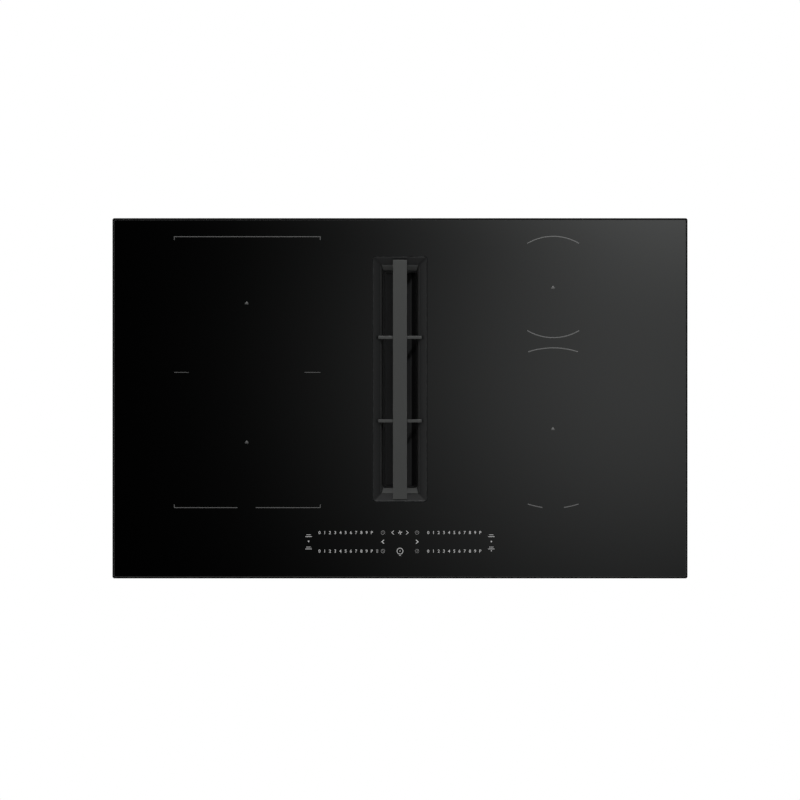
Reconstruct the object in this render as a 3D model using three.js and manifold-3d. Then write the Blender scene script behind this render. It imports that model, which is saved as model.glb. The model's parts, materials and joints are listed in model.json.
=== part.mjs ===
// Built-in induction cooktop with a downdraft intake in the middle of its glass.
// Millimetres, +X to the right, +Y to the rear, +Z up. The origin is under the middle of the glass,
// on the plane that the fan box stands on.
import * as THREE from 'three';
import { mergeVertices } from 'three/addons/utils/BufferGeometryUtils.js';
import Module from 'manifold-3d';

const wasm = await Module();
wasm.setup();

// ---- driving dimensions ----
const GAP = 0.3; // clearance between a fitted piece and its neighbour
const GLASS_TOP = 210;
const GLASS = { width: 830, depth: 520, thick: 4, corner: 3, bevelWide: 2, bevelDeep: 1 };
const GLASS_UNDER = GLASS_TOP - GLASS.thick;
const SEAL = { width: 818, depth: 508, band: 8, thick: 3 };

// The intake: a sloped frame round a throat that carries the grille, the filter and the drip tray.
const INTAKE = {
  y: 27.6, width: 78, depth: 353, corner: 5, land: 0.8, // the frame's outer edge, flush with the glass
  openWidth: 54.9, openDepth: 332, bevelDrop: 7, // the opening at the foot of the bevel
  funnelZ: 194, // below the opening a short funnel leads down to the throat
  throatWidth: 50, throatDepth: 314, draft: 0.8, ledgeZ: 150, // the throat where the filter sits
  ledge: 2, bottomZ: 140, wall: 1.6, flange: 11, flangeThick: 2.3,
};
const CUTOUT_GAP = 0.7; // the dark joint between the frame and the glass
const BEVEL_FOOT = GLASS_TOP - INTAKE.bevelDrop;
const KNEE_OUTSIDE = INTAKE.funnelZ - 1.5 * INTAKE.wall; // where the throat's outside turns into the funnel
const GASKET_THICK = 1.5;

const GRILLE = { barWidth: 20.2, barDepth: 345.5, barY: 27, barThick: 4, ribWide: 4.4, ribHalf: 31.35 };
const RIB = { top: GLASS_TOP - 0.8, under: GLASS_TOP - 7.2, pitch: 60.3 };
const FILTER = { width: 48.8, depth: 312.6, wall: 1.3, top: 192 };
const FILTER_PANEL = { top: 188, foot: 156, thick: 1.6, inner: 3.4 }; // the two slopes of the filter's V
const TRAY = { width: 43, depth: 302, top: 38, wall: 1.5, taper: 6 };

const CASING = { width: 738, depth: 478, bottom: 146, sheet: 1.5 };
const CASING_FLOOR = CASING.bottom + CASING.sheet;
const POCKET = { depth: 24, from: 112, to: 188 }; // the four side pockets that hold the clamps
const CLAMP = { x: 357, y: 150, z: 156, arm: 34, half: 7, sheet: 4, screw: 3, screwTop: 198 };

const FAN_BOX = { x: 122, y: 20, width: 434, depth: 410, corner: 14, wall: 3, split: 104, flange: 8 };
const SCROLL = { x: 175, y: -10, start: 88, end: 146, wall: 2.5, top: 100, tongue: 252, flareY: 100 };
const OUTLET = { x: 209, z: 53, width: 222, height: 89, wall: 2.5, length: 30, flange: 8 };
const IMPELLER = { radius: 82, inner: 66, blades: 18, under: 50, bladeTop: 92, eye: 63 };
const MOTOR = { radius: 46, top: 46, shaft: 4 };

const ZONE_LEFT = { x: -220.8, y: 37.5, width: 212, depth: 391 };
const ZONE_REAR = { x: 221, y: 160.6, radius: 73 };
const ZONE_FRONT = { x: 221, y: -42.8, radius: 115.5 };
const COIL = { top: 203, thick: 5, ferrite: 4, plate: 1.5 };
const COIL_UNDER = COIL.top - COIL.thick;
const FERRITE_UNDER = COIL_UNDER - COIL.ferrite;
const PLATE_UNDER = FERRITE_UNDER - COIL.plate;
const PLATE = { width: 232, front: -172, rear: 236 };

const BOARD = { width: 196, depth: 170, thick: 1.6, post: 8 };
const SINK = { width: 60, depth: 140, height: 28, base: 5, fins: 9 };
const COOLER = { size: 84, height: 24, bore: 36, blades: 9 };
const COOLERS = { left: [ZONE_LEFT.x, -80], right: [ZONE_FRONT.x + 40, -80] };
const TOUCH = { width: 284, y: -206, depth: 50, thick: 1.6, guide: 7 };
const TERMINAL = { x: -265, y: 187, width: 90, depth: 74, height: 38, wall: 2 };

// ---- materials ----
const finish = (color, roughness, metalness) => new THREE.MeshStandardMaterial({ color, roughness, metalness });
const MATERIAL = {
  glass: () => finish(0x0a0b0c, 0.08, 0),
  foam: () => finish(0x1c1c1c, 0.9, 0),
  frame: () => finish(0x26272a, 0.45, 0),
  grille: () => finish(0x5c5d5c, 0.4, 0.9),
  steel: () => finish(0x9a9c9e, 0.35, 1),
  zinc: () => finish(0x8b9094, 0.45, 1),
  copper: () => finish(0xa8623a, 0.4, 0.9),
  ferrite: () => finish(0x2b2b2d, 0.8, 0),
  aluminium: () => finish(0xb4b6b8, 0.4, 1),
  board: () => finish(0x1f4a2c, 0.6, 0),
  plastic: () => finish(0x17181a, 0.55, 0),
  greyPlastic: () => finish(0x3a3c3f, 0.55, 0),
  pale: () => finish(0xd8d8d2, 0.5, 0),
};

// ---- shape helpers ----

// Corner points of a rounded rectangle, anticlockwise from above.
function roundedRect(width, depth, radius, steps = 4) {
  const points = [];
  const corners = [[1, -1, -90], [1, 1, 0], [-1, 1, 90], [-1, -1, 180]];
  for (const [sx, sy, start] of corners) {
    for (let i = 0; i <= steps; i += 1) {
      const angle = THREE.MathUtils.degToRad(start + (90 * i) / steps);
      const x = sx * (width / 2 - radius) + radius * Math.cos(angle);
      const y = sy * (depth / 2 - radius) + radius * Math.sin(angle);
      points.push(new THREE.Vector2(x, y));
    }
  }
  return points;
}

function ringAt(z, width, depth, radius, x = 0, y = 0, steps = 4) {
  return roundedRect(width, depth, radius, steps).map((p) => new THREE.Vector3(p.x + x, p.y + y, z));
}

// A body through rings of equal point counts. A closed loft joins its last ring to its first one.
function loft(rings, closed = false) {
  const count = rings[0].length;
  const index = [];
  const bands = closed ? rings.length : rings.length - 1;
  for (let k = 0; k < bands; k += 1) {
    const low = k * count;
    const high = ((k + 1) % rings.length) * count;
    for (let i = 0; i < count; i += 1) {
      const j = (i + 1) % count;
      index.push(low + i, low + j, high + j, low + i, high + j, high + i);
    }
  }
  if (!closed) {
    const last = (rings.length - 1) * count;
    for (let i = 1; i < count - 1; i += 1) {
      index.push(0, i + 1, i, last, last + i, last + i + 1);
    }
  }
  const geometry = new THREE.BufferGeometry().setFromPoints(rings.flat());
  geometry.setIndex(index);
  return geometry;
}

function box(x0, x1, y0, y1, z0, z1) {
  const geometry = new THREE.BoxGeometry(x1 - x0, y1 - y0, z1 - z0);
  return geometry.translate((x0 + x1) / 2, (y0 + y1) / 2, (z0 + z1) / 2);
}

// An outline in X and Y, raised from z0 to z1.
function prism(points, z0, z1, holes = []) {
  const shape = new THREE.Shape(points);
  shape.holes = holes.map((hole) => new THREE.Path(hole));
  return new THREE.ExtrudeGeometry(shape, { depth: z1 - z0, bevelEnabled: false }).translate(0, 0, z0);
}

// An outline in X and Z, run along Y from y0 to y1.
function alongY(points, y0, y1) {
  return prism(points, -y1, -y0).rotateX(Math.PI / 2);
}

// An outline in Y and Z, run along X from x0 to x1.
function alongX(points, x0, x1) {
  return prism(points, x0, x1).rotateX(Math.PI / 2).rotateZ(Math.PI / 2);
}

function circle(radius, steps = 28, x = 0, y = 0) {
  const points = [];
  for (let i = 0; i < steps; i += 1) {
    const angle = (2 * Math.PI * i) / steps;
    points.push(new THREE.Vector2(x + radius * Math.cos(angle), y + radius * Math.sin(angle)));
  }
  return points;
}

function drum(radius, z0, z1, x = 0, y = 0, steps = 28) {
  return prism(circle(radius, steps, x, y), z0, z1);
}

function washer(outer, inner, z0, z1, x = 0, y = 0, steps = 28) {
  return prism(circle(outer, steps, x, y), z0, z1, [circle(inner, steps, x, y)]);
}

function toSolid(geometry) {
  const bare = geometry.clone();
  bare.deleteAttribute('normal');
  bare.deleteAttribute('uv');
  const merged = mergeVertices(bare, 1e-4);
  return new wasm.Manifold(new wasm.Mesh({
    numProp: 3,
    vertProperties: new Float32Array(merged.attributes.position.array),
    triVerts: new Uint32Array(merged.index.array),
  }));
}

function toGeometry(solid) {
  const mesh = solid.getMesh();
  const geometry = new THREE.BufferGeometry();
  geometry.setAttribute('position', new THREE.BufferAttribute(new Float32Array(mesh.vertProperties), 3));
  geometry.setIndex(Array.from(mesh.triVerts));
  return geometry;
}

function join(...geometries) {
  const solids = geometries.map(toSolid);
  return toGeometry(solids.reduce((whole, solid) => whole.add(solid)));
}

function cut(base, ...tools) {
  const solids = tools.map(toSolid);
  return toGeometry(solids.reduce((whole, solid) => whole.subtract(solid), toSolid(base)));
}

const cooktop = new THREE.Group();

function addPiece(name, geometry, material) {
  geometry.computeVertexNormals();
  const mesh = new THREE.Mesh(geometry, material());
  mesh.name = name;
  cooktop.add(mesh);
  return mesh;
}

// ---- the glass, its seal and the intake frame ----

function glassPanel() {
  const { width, depth, corner, bevelWide, bevelDeep } = GLASS;
  const outer = (z, inset) => ringAt(z, width - 2 * inset, depth - 2 * inset, corner);
  const hole = (z) => ringAt(
    z, INTAKE.width + 2 * CUTOUT_GAP, INTAKE.depth + 2 * CUTOUT_GAP, INTAKE.corner + CUTOUT_GAP, 0, INTAKE.y,
  );
  return loft([
    outer(GLASS_UNDER, 0), outer(GLASS_TOP - bevelDeep, 0), outer(GLASS_TOP, bevelWide),
    hole(GLASS_TOP), hole(GLASS_UNDER),
  ], true);
}

function bandRing(width, depth, band, z0, z1, corner, y = 0) {
  const outer = (z) => ringAt(z, width, depth, corner, 0, y);
  const inner = (z) => ringAt(z, width - 2 * band, depth - 2 * band, corner - band / 2, 0, y);
  return loft([outer(z0), outer(z1), inner(z1), inner(z0)], true);
}

function intakeFrame() {
  const { width, depth, corner, land, openWidth, openDepth, funnelZ, throatWidth, throatDepth } = INTAKE;
  const { draft, ledge, ledgeZ, bottomZ, wall, flange, flangeThick, y } = INTAKE;
  const kneeWidth = throatWidth + draft;
  const kneeDepth = throatDepth + draft;
  const ring = (z, w, d, r) => ringAt(z, w, d, r, 0, y);
  const flangeTop = GLASS_UNDER - GASKET_THICK;
  const flangeUnder = flangeTop - flangeThick;
  return loft([
    ring(bottomZ, throatWidth + 2 * wall, throatDepth + 2 * wall, 7),
    ring(KNEE_OUTSIDE, kneeWidth + 2 * wall, kneeDepth + 2 * wall, 7),
    ring(flangeUnder, openWidth + 3 * wall, openDepth + 3 * wall, 7),
    ring(flangeUnder, width + 2 * flange, depth + 2 * flange, corner + flange),
    ring(flangeTop, width + 2 * flange, depth + 2 * flange, corner + flange),
    ring(flangeTop, width, depth, corner),
    ring(GLASS_TOP, width, depth, corner),
    ring(GLASS_TOP, width - 2 * land, depth - 2 * land, corner - land),
    ring(BEVEL_FOOT, openWidth, openDepth, 2),
    ring(funnelZ, kneeWidth, kneeDepth, 4),
    ring(ledgeZ, throatWidth, throatDepth, 5),
    ring(ledgeZ, throatWidth - 2 * ledge, throatDepth - 2 * ledge, 4),
    ring(bottomZ, throatWidth - 2 * ledge, throatDepth - 2 * ledge, 4),
  ], true);
}

addPiece('glass_panel', glassPanel(), MATERIAL.glass);
addPiece(
  'glass_seal',
  bandRing(SEAL.width, SEAL.depth, SEAL.band, GLASS_UNDER - SEAL.thick, GLASS_UNDER, 8),
  MATERIAL.foam,
);
addPiece('intake_frame', intakeFrame(), MATERIAL.frame);
addPiece(
  'intake_gasket',
  bandRing(INTAKE.width + 18, INTAKE.depth + 18, 6, GLASS_UNDER - GASKET_THICK, GLASS_UNDER, 12, INTAKE.y),
  MATERIAL.foam,
);

// ---- the grille, which lies in the intake frame ----

// Height of the frame's end bevel at a distance outwards from the opening.
const endBevel = (out) => {
  const run = (INTAKE.depth - INTAKE.openDepth) / 2 - INTAKE.land;
  return BEVEL_FOOT + (INTAKE.bevelDrop * out) / run;
};
const sideBevel = (out) => {
  const run = (INTAKE.width - INTAKE.openWidth) / 2 - INTAKE.land;
  return BEVEL_FOOT + (INTAKE.bevelDrop * out) / run;
};

function grilleBar() {
  const { barWidth, barDepth, barY, barThick } = GRILLE;
  const under = GLASS_TOP - barThick;
  const side = (sign) => {
    const tip = barY + (sign * barDepth) / 2;
    const edge = INTAKE.y + (sign * INTAKE.openDepth) / 2;
    const tipUnder = endBevel(Math.abs(tip - edge)) + GAP;
    const lift = (under - GAP - BEVEL_FOOT) / (tipUnder - GAP - BEVEL_FOOT);
    return [
      new THREE.Vector2(edge + lift * (tip - edge), under),
      new THREE.Vector2(tip, tipUnder),
      new THREE.Vector2(tip, GLASS_TOP),
    ];
  };
  return alongX([...side(1), ...side(-1).reverse()], -barWidth / 2, barWidth / 2);
}

// A cross rib, notched for the bar, with ends that lie on the frame's side bevels.
function grilleRib(y) {
  const { ribHalf, ribWide, barWidth, barThick } = GRILLE;
  const foot = INTAKE.openWidth / 2 - GAP;
  const notch = barWidth / 2 + GAP;
  const saddle = GLASS_TOP - barThick;
  const half = [
    [foot, RIB.under], [foot + 2 * GAP, sideBevel(GAP) + GAP],
    [ribHalf, sideBevel(ribHalf - INTAKE.openWidth / 2) + GAP],
    [ribHalf, RIB.top], [notch, RIB.top], [notch, saddle],
  ];
  const right = half.map(([x, z]) => new THREE.Vector2(x, z));
  const left = half.map(([x, z]) => new THREE.Vector2(-x, z)).reverse();
  return alongY([...right, ...left], y - ribWide / 2, y + ribWide / 2);
}

addPiece('grille_bar', grilleBar(), MATERIAL.grille);
addPiece('grille_rib_rear', grilleRib(INTAKE.y + RIB.pitch), MATERIAL.grille);
addPiece('grille_rib_front', grilleRib(INTAKE.y - RIB.pitch), MATERIAL.grille);
for (const [name, sign] of [['grille_foot_rear', 1], ['grille_foot_front', -1]]) {
  const y = INTAKE.y + sign * (FILTER.depth / 2 - 1.5);
  const foot = box(-7, 7, y - 1.5, y + 1.5, FILTER.top + GAP, GLASS_TOP - GRILLE.barThick);
  addPiece(name, foot, MATERIAL.frame);
}

// ---- the grease filter and the drip tray ----

function filterFrame() {
  const { width, depth, wall, top } = FILTER;
  const rim = loft([
    ringAt(INTAKE.ledgeZ, width, depth, 4, 0, INTAKE.y),
    ringAt(top, width, depth, 4, 0, INTAKE.y),
    ringAt(top, width - 2 * wall, depth - 2 * wall, 3, 0, INTAKE.y),
    ringAt(INTAKE.ledgeZ, width - 2 * wall, depth - 2 * wall, 3, 0, INTAKE.y),
  ], true);
  const half = depth / 2 - wall / 2;
  const keel = box(-4, 4, INTAKE.y - half, INTAKE.y + half, INTAKE.ledgeZ, INTAKE.ledgeZ + 4);
  return join(rim, keel);
}

// One sloped side of the filter's V: sign 1 is the right side.
function filterPanel(sign) {
  const { width, depth, wall } = FILTER;
  const { top, foot, thick, inner } = FILTER_PANEL;
  const outer = width / 2 - wall - GAP;
  const points = [
    [inner, foot], [inner + thick, foot], [outer, top], [outer - thick, top],
  ].map(([x, z]) => new THREE.Vector2(sign * x, z));
  const half = depth / 2 - wall - 2;
  return alongY(sign > 0 ? points : points.reverse(), INTAKE.y - half, INTAKE.y + half);
}

function filterHandle() {
  const foot = INTAKE.ledgeZ + 4;
  const arch = [[46, foot], [46, 176], [38, 186], [-38, 186], [-46, 176], [-46, foot],
    [-42, foot], [-42, 175], [-36, 182], [36, 182], [42, 175], [42, foot]];
  return alongX(arch.map(([y, z]) => new THREE.Vector2(INTAKE.y + y, z)), -2.5, 2.5);
}

function dripTray() {
  const { width, depth, top, wall, taper } = TRAY;
  const ring = (z, inset) => ringAt(z, width - 2 * inset, depth - 2 * inset, 6, 0, INTAKE.y);
  const shell = loft([
    ring(FAN_BOX.wall, taper / 2), ring(top, 0), ring(top, wall), ring(FAN_BOX.wall + 2, taper / 2 + wall),
  ]);
  const half = width / 2 - wall / 2;
  const y = INTAKE.y;
  const strap = alongY([
    [half, 30], [half, top - 4], [14, 54], [-14, 54], [-half, top - 4], [-half, 30],
    [-half + 1.2, 30], [-half + 1.2, top - 4.6], [-13.2, 52.4], [13.2, 52.4],
    [half - 1.2, top - 4.6], [half - 1.2, 30],
  ].map(([x, z]) => new THREE.Vector2(x, z)), y - 7, y + 7);
  return join(shell, strap);
}

addPiece('filter_frame', filterFrame(), MATERIAL.steel);
addPiece('filter_panel_left', filterPanel(-1), MATERIAL.steel);
addPiece('filter_panel_right', filterPanel(1), MATERIAL.steel);
addPiece('filter_handle', filterHandle(), MATERIAL.plastic);
addPiece('drip_tray', dripTray(), MATERIAL.greyPlastic);

// ---- the casing under the glass, with its clamps ----

// The casing's plan, drawn in by inset, with a pocket near each corner of its two sides.
function casingPlan(inset) {
  const x = CASING.width / 2 - inset;
  const y = CASING.depth / 2 - inset;
  const deep = CASING.width / 2 - POCKET.depth - inset;
  const from = POCKET.from - inset;
  const to = POCKET.to + inset;
  const rearRight = [[x, from], [deep, from], [deep, to], [x, to], [x, y]];
  const mirror = (points, sx, sy) => points.map(([px, py]) => [sx * px, sy * py]);
  const plan = [
    ...mirror(rearRight, 1, -1).reverse(), ...rearRight,
    ...mirror(rearRight, -1, 1).reverse(), ...mirror(rearRight, -1, -1),
  ];
  return plan.map(([px, py]) => new THREE.Vector2(px, py));
}

function intakeHole(z0, z1) {
  const { width, depth } = throatOutside(CASING_FLOOR + 4);
  const side = 2 * GAP;
  return prism(
    roundedRect(width + side, depth + side, 7).map((p) => p.add(new THREE.Vector2(0, INTAKE.y))), z0, z1,
  );
}

// The throat's outside at a height, between its bottom and the funnel.
function throatOutside(z) {
  const { bottomZ, wall, throatWidth, throatDepth, draft } = INTAKE;
  const grow = 2 * wall + (draft * (z - bottomZ)) / (KNEE_OUTSIDE - bottomZ);
  return { width: throatWidth + grow, depth: throatDepth + grow };
}

function casingTray() {
  const { width, depth, bottom, sheet } = CASING;
  const shell = cut(
    prism(casingPlan(0), bottom, GLASS_UNDER),
    prism(casingPlan(sheet), CASING_FLOOR, GLASS_UNDER + 1),
  );
  const ears = [1, -1].map((sx) => [1, -1].map((sy) => {
    const xs = [sx * (width / 2 - POCKET.depth - sheet), (sx * width) / 2].sort((a, b) => a - b);
    const ys = [sy * (POCKET.from - 1), sy * (POCKET.to + 1)].sort((a, b) => a - b);
    return box(...xs, ...ys, bottom, CASING_FLOOR);
  })).flat();
  const holes = [intakeHole(bottom - 1, CASING_FLOOR + 1)];
  for (const sx of [1, -1]) {
    for (const sy of [1, -1]) {
      holes.push(drum(CLAMP.screw + GAP, bottom - 1, CASING_FLOOR + 1, sx * CLAMP.x, sy * CLAMP.y, 16));
    }
    // Cooling slots in both side walls, between the pockets.
    for (let i = 0; i < 6; i += 1) {
      const y = -75 + 30 * i;
      const wallX = [sx * (width / 2 - 4), sx * (width / 2 + 4)].sort((a, b) => a - b);
      holes.push(box(...wallX, y - 2.5, y + 2.5, bottom + 12, bottom + 42));
    }
  }
  // Warm air leaves through slots in the rear wall.
  for (let i = 0; i < 12; i += 1) {
    const x = -286 + 52 * i;
    holes.push(box(x - 18, x + 18, depth / 2 - 4, depth / 2 + 4, bottom + 28, bottom + 34));
  }
  // The left cooling fan draws through slots in the floor.
  const [coolerX, coolerY] = COOLERS.left;
  for (let i = -2; i <= 2; i += 1) {
    const offset = 12 * i;
    const half = Math.sqrt((COOLER.bore - 4) ** 2 - offset ** 2);
    const slotX = [coolerX + offset - 3, coolerX + offset + 3];
    holes.push(box(...slotX, coolerY - half, coolerY + half, bottom - 1, CASING_FLOOR + 1));
  }
  return cut(join(shell, ...ears), ...holes);
}

// Each clamp rests turned in along its side wall and swings out under the worktop.
function clamp(sx, sy) {
  const { x, y, z, arm, half, sheet, screw } = CLAMP;
  const tip = sy * arm;
  const ys = [y * sy, y * sy + tip].sort((a, b) => a - b);
  const tooth = [y * sy + tip - sy * 4, y * sy + tip].sort((a, b) => a - b);
  const cx = sx * x;
  const plate = join(
    box(cx - half, cx + half, ...ys, z, z + sheet),
    box(cx - half, cx + half, ...tooth, z + sheet, z + sheet + 6),
    drum(half, z - 3, z + 16, cx, sy * y, 16),
  );
  return cut(plate, drum(screw + GAP, z - 4, z + 17, cx, sy * y, 16));
}

function clampScrew(sx, sy) {
  const { x, y, screw, screwTop } = CLAMP;
  const shank = drum(screw, CASING.bottom - 1, screwTop, sx * x, sy * y, 16);
  const head = drum(6, CASING.bottom - 4.5, CASING.bottom, sx * x, sy * y, 6);
  return join(shank, head);
}

addPiece('casing_tray', casingTray(), MATERIAL.zinc);
for (const [side, sx] of [['left', -1], ['right', 1]]) {
  for (const [end, sy] of [['front', -1], ['rear', 1]]) {
    addPiece(`clamp_${side}_${end}`, clamp(sx, sy), MATERIAL.steel);
    addPiece(`clamp_screw_${side}_${end}`, clampScrew(sx, sy), MATERIAL.steel);
  }
}
const throatAtGasket = throatOutside(CASING_FLOOR + 4);
addPiece(
  'shaft_gasket',
  bandRing(
    throatAtGasket.width + 2 * GAP + 16, throatAtGasket.depth + 2 * GAP + 16, 8,
    CASING_FLOOR, CASING_FLOOR + 4, 11, INTAKE.y,
  ),
  MATERIAL.foam,
);

// ---- the coils, on ferrites and aluminium plates ----

function coilPlate(x) {
  const { width, front, rear } = PLATE;
  const top = box(x - width / 2, x + width / 2, front, rear, PLATE_UNDER, FERRITE_UNDER);
  const legs = [-1, 1].map((side) => {
    const edge = x + (side * width) / 2;
    const xs = [edge, edge - side * COIL.plate].sort((a, b) => a - b);
    return box(...xs, front, rear, CASING_FLOOR, FERRITE_UNDER);
  });
  const windows = [-110, 10, 130].map((y) => (
    box(x - width, x + width, y, y + 70, CASING_FLOOR + 8, PLATE_UNDER - 8)
  ));
  return cut(join(top, ...legs), ...windows);
}

// Ferrite bars that fan out from a hub under a coil.
function ferriteStar(x, y, reach, bars) {
  const hub = washer(24, 12, FERRITE_UNDER, COIL_UNDER, 0, 0, 16);
  const arms = [];
  for (let i = 0; i < bars; i += 1) {
    const arm = box(18, reach, -7, 7, FERRITE_UNDER, COIL_UNDER);
    arms.push(arm.rotateZ((2 * Math.PI * (i + 0.5)) / bars));
  }
  return join(hub, ...arms).translate(x, y, 0);
}

function squareCoil(y) {
  const { x, width, depth } = ZONE_LEFT;
  const move = (p) => p.add(new THREE.Vector2(x, y));
  const outer = roundedRect(width - 14, depth / 2 - 8, 60, 6).map(move);
  const inner = roundedRect(64, 52, 22, 6).map(move);
  return prism(outer, COIL_UNDER, COIL.top, [inner]);
}

const coilsLeftY = { rear: ZONE_LEFT.y + ZONE_LEFT.depth / 4, front: ZONE_LEFT.y - ZONE_LEFT.depth / 4 };
addPiece('coil_plate_left', coilPlate(ZONE_LEFT.x), MATERIAL.aluminium);
addPiece('coil_plate_right', coilPlate(ZONE_FRONT.x), MATERIAL.aluminium);
for (const [end, y] of Object.entries(coilsLeftY)) {
  addPiece(`coil_left_${end}`, squareCoil(y), MATERIAL.copper);
  addPiece(`ferrite_left_${end}`, ferriteStar(ZONE_LEFT.x, y, 88, 6), MATERIAL.ferrite);
}
for (const [end, zone, bars] of [['rear', ZONE_REAR, 6], ['front', ZONE_FRONT, 8]]) {
  const coil = washer(zone.radius - 1, 26, COIL_UNDER, COIL.top, zone.x, zone.y, 40);
  addPiece(`coil_right_${end}`, coil, MATERIAL.copper);
  addPiece(`ferrite_right_${end}`, ferriteStar(zone.x, zone.y, zone.radius - 8, bars), MATERIAL.ferrite);
}

// ---- the electronics ----

function powerBoard(x, y) {
  const { width, depth, thick, post } = BOARD;
  const under = CASING_FLOOR + post;
  const posts = [-1, 1].map((sx) => [-1, 1].map((sy) => (
    drum(4, CASING_FLOOR, under + 0.5, x + sx * (width / 2 - 8), y + sy * (depth / 2 - 8), 12)
  ))).flat();
  return join(box(x - width / 2, x + width / 2, y - depth / 2, y + depth / 2, under, under + thick), ...posts);
}

function heatSink(x, y) {
  const { width, depth, height, base, fins } = SINK;
  const z0 = CASING_FLOOR + BOARD.post + BOARD.thick;
  const pitch = (width - 2) / (fins - 1);
  const blades = [];
  for (let i = 0; i < fins; i += 1) {
    const left = x - width / 2 + pitch * i;
    blades.push(box(left, left + 2, y - depth / 2, y + depth / 2, z0 + base - 1, z0 + height));
  }
  return join(box(x - width / 2, x + width / 2, y - depth / 2, y + depth / 2, z0, z0 + base), ...blades);
}

function coolerHousing(x, y) {
  const { size, height, bore } = COOLER;
  const plan = roundedRect(size, size, 8).map((p) => p.add(new THREE.Vector2(x, y)));
  const body = cut(
    prism(plan, CASING_FLOOR, CASING_FLOOR + height),
    drum(bore, CASING_FLOOR - 1, CASING_FLOOR + height + 1, x, y),
  );
  const strut = box(x - bore - 1, x + bore + 1, y - 3, y + 3, CASING_FLOOR, CASING_FLOOR + 3);
  const seat = drum(13, CASING_FLOOR, CASING_FLOOR + 5, x, y, 16);
  return join(body, strut, seat);
}

function coolerImpeller(x, y) {
  const { height, bore, blades } = COOLER;
  const z0 = CASING_FLOOR + 5 + GAP;
  const z1 = CASING_FLOOR + height - 2;
  const hub = drum(14, z0, z1, 0, 0, 18);
  const vanes = [];
  for (let i = 0; i < blades; i += 1) {
    const vane = box(12, bore - 2, -1, 1, z0 + 2, z1 - 1);
    vanes.push(vane.rotateZ((2 * Math.PI * i) / blades));
  }
  return join(hub, ...vanes).translate(x, y, 0);
}

for (const [side, x] of [['left', ZONE_LEFT.x], ['right', ZONE_FRONT.x]]) {
  addPiece(`power_board_${side}`, powerBoard(x, 90), MATERIAL.board);
  addPiece(`heat_sink_${side}`, heatSink(x, 90), MATERIAL.aluminium);
  addPiece(`cooling_fan_housing_${side}`, coolerHousing(...COOLERS[side]), MATERIAL.plastic);
  addPiece(`cooling_fan_impeller_${side}`, coolerImpeller(...COOLERS[side]), MATERIAL.plastic);
}

function lightGuide() {
  const { width, y, depth, guide } = TOUCH;
  const plate = box(-width / 2, width / 2, y - depth / 2, y + depth / 2, GLASS_UNDER - guide, GLASS_UNDER);
  const windows = [-1, 1].map((side) => {
    const x = side * 92;
    return box(x - 38, x + 38, y - 17, y + 17, GLASS_UNDER - guide - 1, GLASS_UNDER + 1);
  });
  return cut(plate, ...windows);
}

addPiece('light_guide', lightGuide(), MATERIAL.pale);
const touchTop = GLASS_UNDER - TOUCH.guide;
addPiece(
  'touch_board',
  box(
    -TOUCH.width / 2, TOUCH.width / 2, TOUCH.y - TOUCH.depth / 2, TOUCH.y + TOUCH.depth / 2,
    touchTop - TOUCH.thick, touchTop,
  ),
  MATERIAL.board,
);

// ---- the mains terminal box under the rear left of the casing ----

const TERMINAL_BACK = TERMINAL.y + TERMINAL.depth / 2; // the face that the lid closes
const TERMINAL_LOW = CASING.bottom - TERMINAL.height;
const HINGE = { y: TERMINAL_BACK + 3, z: CASING.bottom - 4, pin: 1.2, barrel: 2.6 };

function barrelAlongX(radius, x0, x1, steps = 16) {
  return alongX(circle(radius, steps, HINGE.y, HINGE.z), x0, x1);
}

function terminalBox() {
  const { x, y, width, depth, wall } = TERMINAL;
  const body = box(x - width / 2, x + width / 2, y - depth / 2, TERMINAL_BACK, TERMINAL_LOW, CASING.bottom);
  const room = box(
    x - width / 2 + wall, x + width / 2 - wall, y - depth / 2 + wall, TERMINAL_BACK + 1,
    TERMINAL_LOW + wall, CASING.bottom - wall,
  );
  const entry = alongX(circle(8, 24, y, TERMINAL_LOW + 18), x - width / 2 - 1, x - width / 2 + wall + 1);
  const ears = [-1, 1].map((side) => {
    const xs = [x + side * (width / 2), x + side * (width / 2 - 4)].sort((a, b) => a - b);
    return box(...xs, TERMINAL_BACK - 1, HINGE.y + HINGE.barrel, HINGE.z - HINGE.barrel, CASING.bottom);
  });
  const bore = barrelAlongX(HINGE.pin + 0.02, x - width, x + width);
  return cut(join(cut(body, room, entry), ...ears), bore);
}

function terminalLid() {
  const { x, width, wall } = TERMINAL;
  const half = width / 2 - 4 - GAP;
  const front = TERMINAL_BACK + GAP;
  const plate = box(x - width / 2, x + width / 2, front, front + wall, TERMINAL_LOW, HINGE.z - 4);
  const neck = box(x - half, x + half, front, front + wall, HINGE.z - 5, HINGE.z);
  const barrel = barrelAlongX(HINGE.barrel, x - half, x + half);
  const pull = box(x - 12, x + 12, front + wall - 0.5, front + wall + 3, TERMINAL_LOW, TERMINAL_LOW + 3);
  return cut(join(plate, neck, barrel, pull), barrelAlongX(HINGE.pin + GAP, x - width, x + width));
}

function terminalBlock() {
  const { x, y, wall } = TERMINAL;
  const z0 = TERMINAL_LOW + wall;
  const base = box(x - 30, x + 30, y - 14, y + 14, z0, z0 + 10);
  const cells = [];
  for (let i = 0; i < 5; i += 1) {
    const cx = x - 24 + 12 * i;
    cells.push(box(cx - 4.6, cx + 4.6, y - 11, y + 11, z0 + 9, z0 + 18));
  }
  return join(base, ...cells);
}

function cableGland() {
  const { x, y, width, wall } = TERMINAL;
  const face = x - width / 2;
  const z = TERMINAL_LOW + 18;
  const body = join(
    alongX(circle(8 - GAP, 24, y, z), face - 8, face + wall + 2),
    alongX(circle(12, 6, y, z), face - 8, face),
    alongX(circle(10.5, 24, y, z), face - 18, face - 7),
  );
  return cut(body, alongX(circle(6, 24, y, z), face - 20, face + wall + 4));
}

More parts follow.
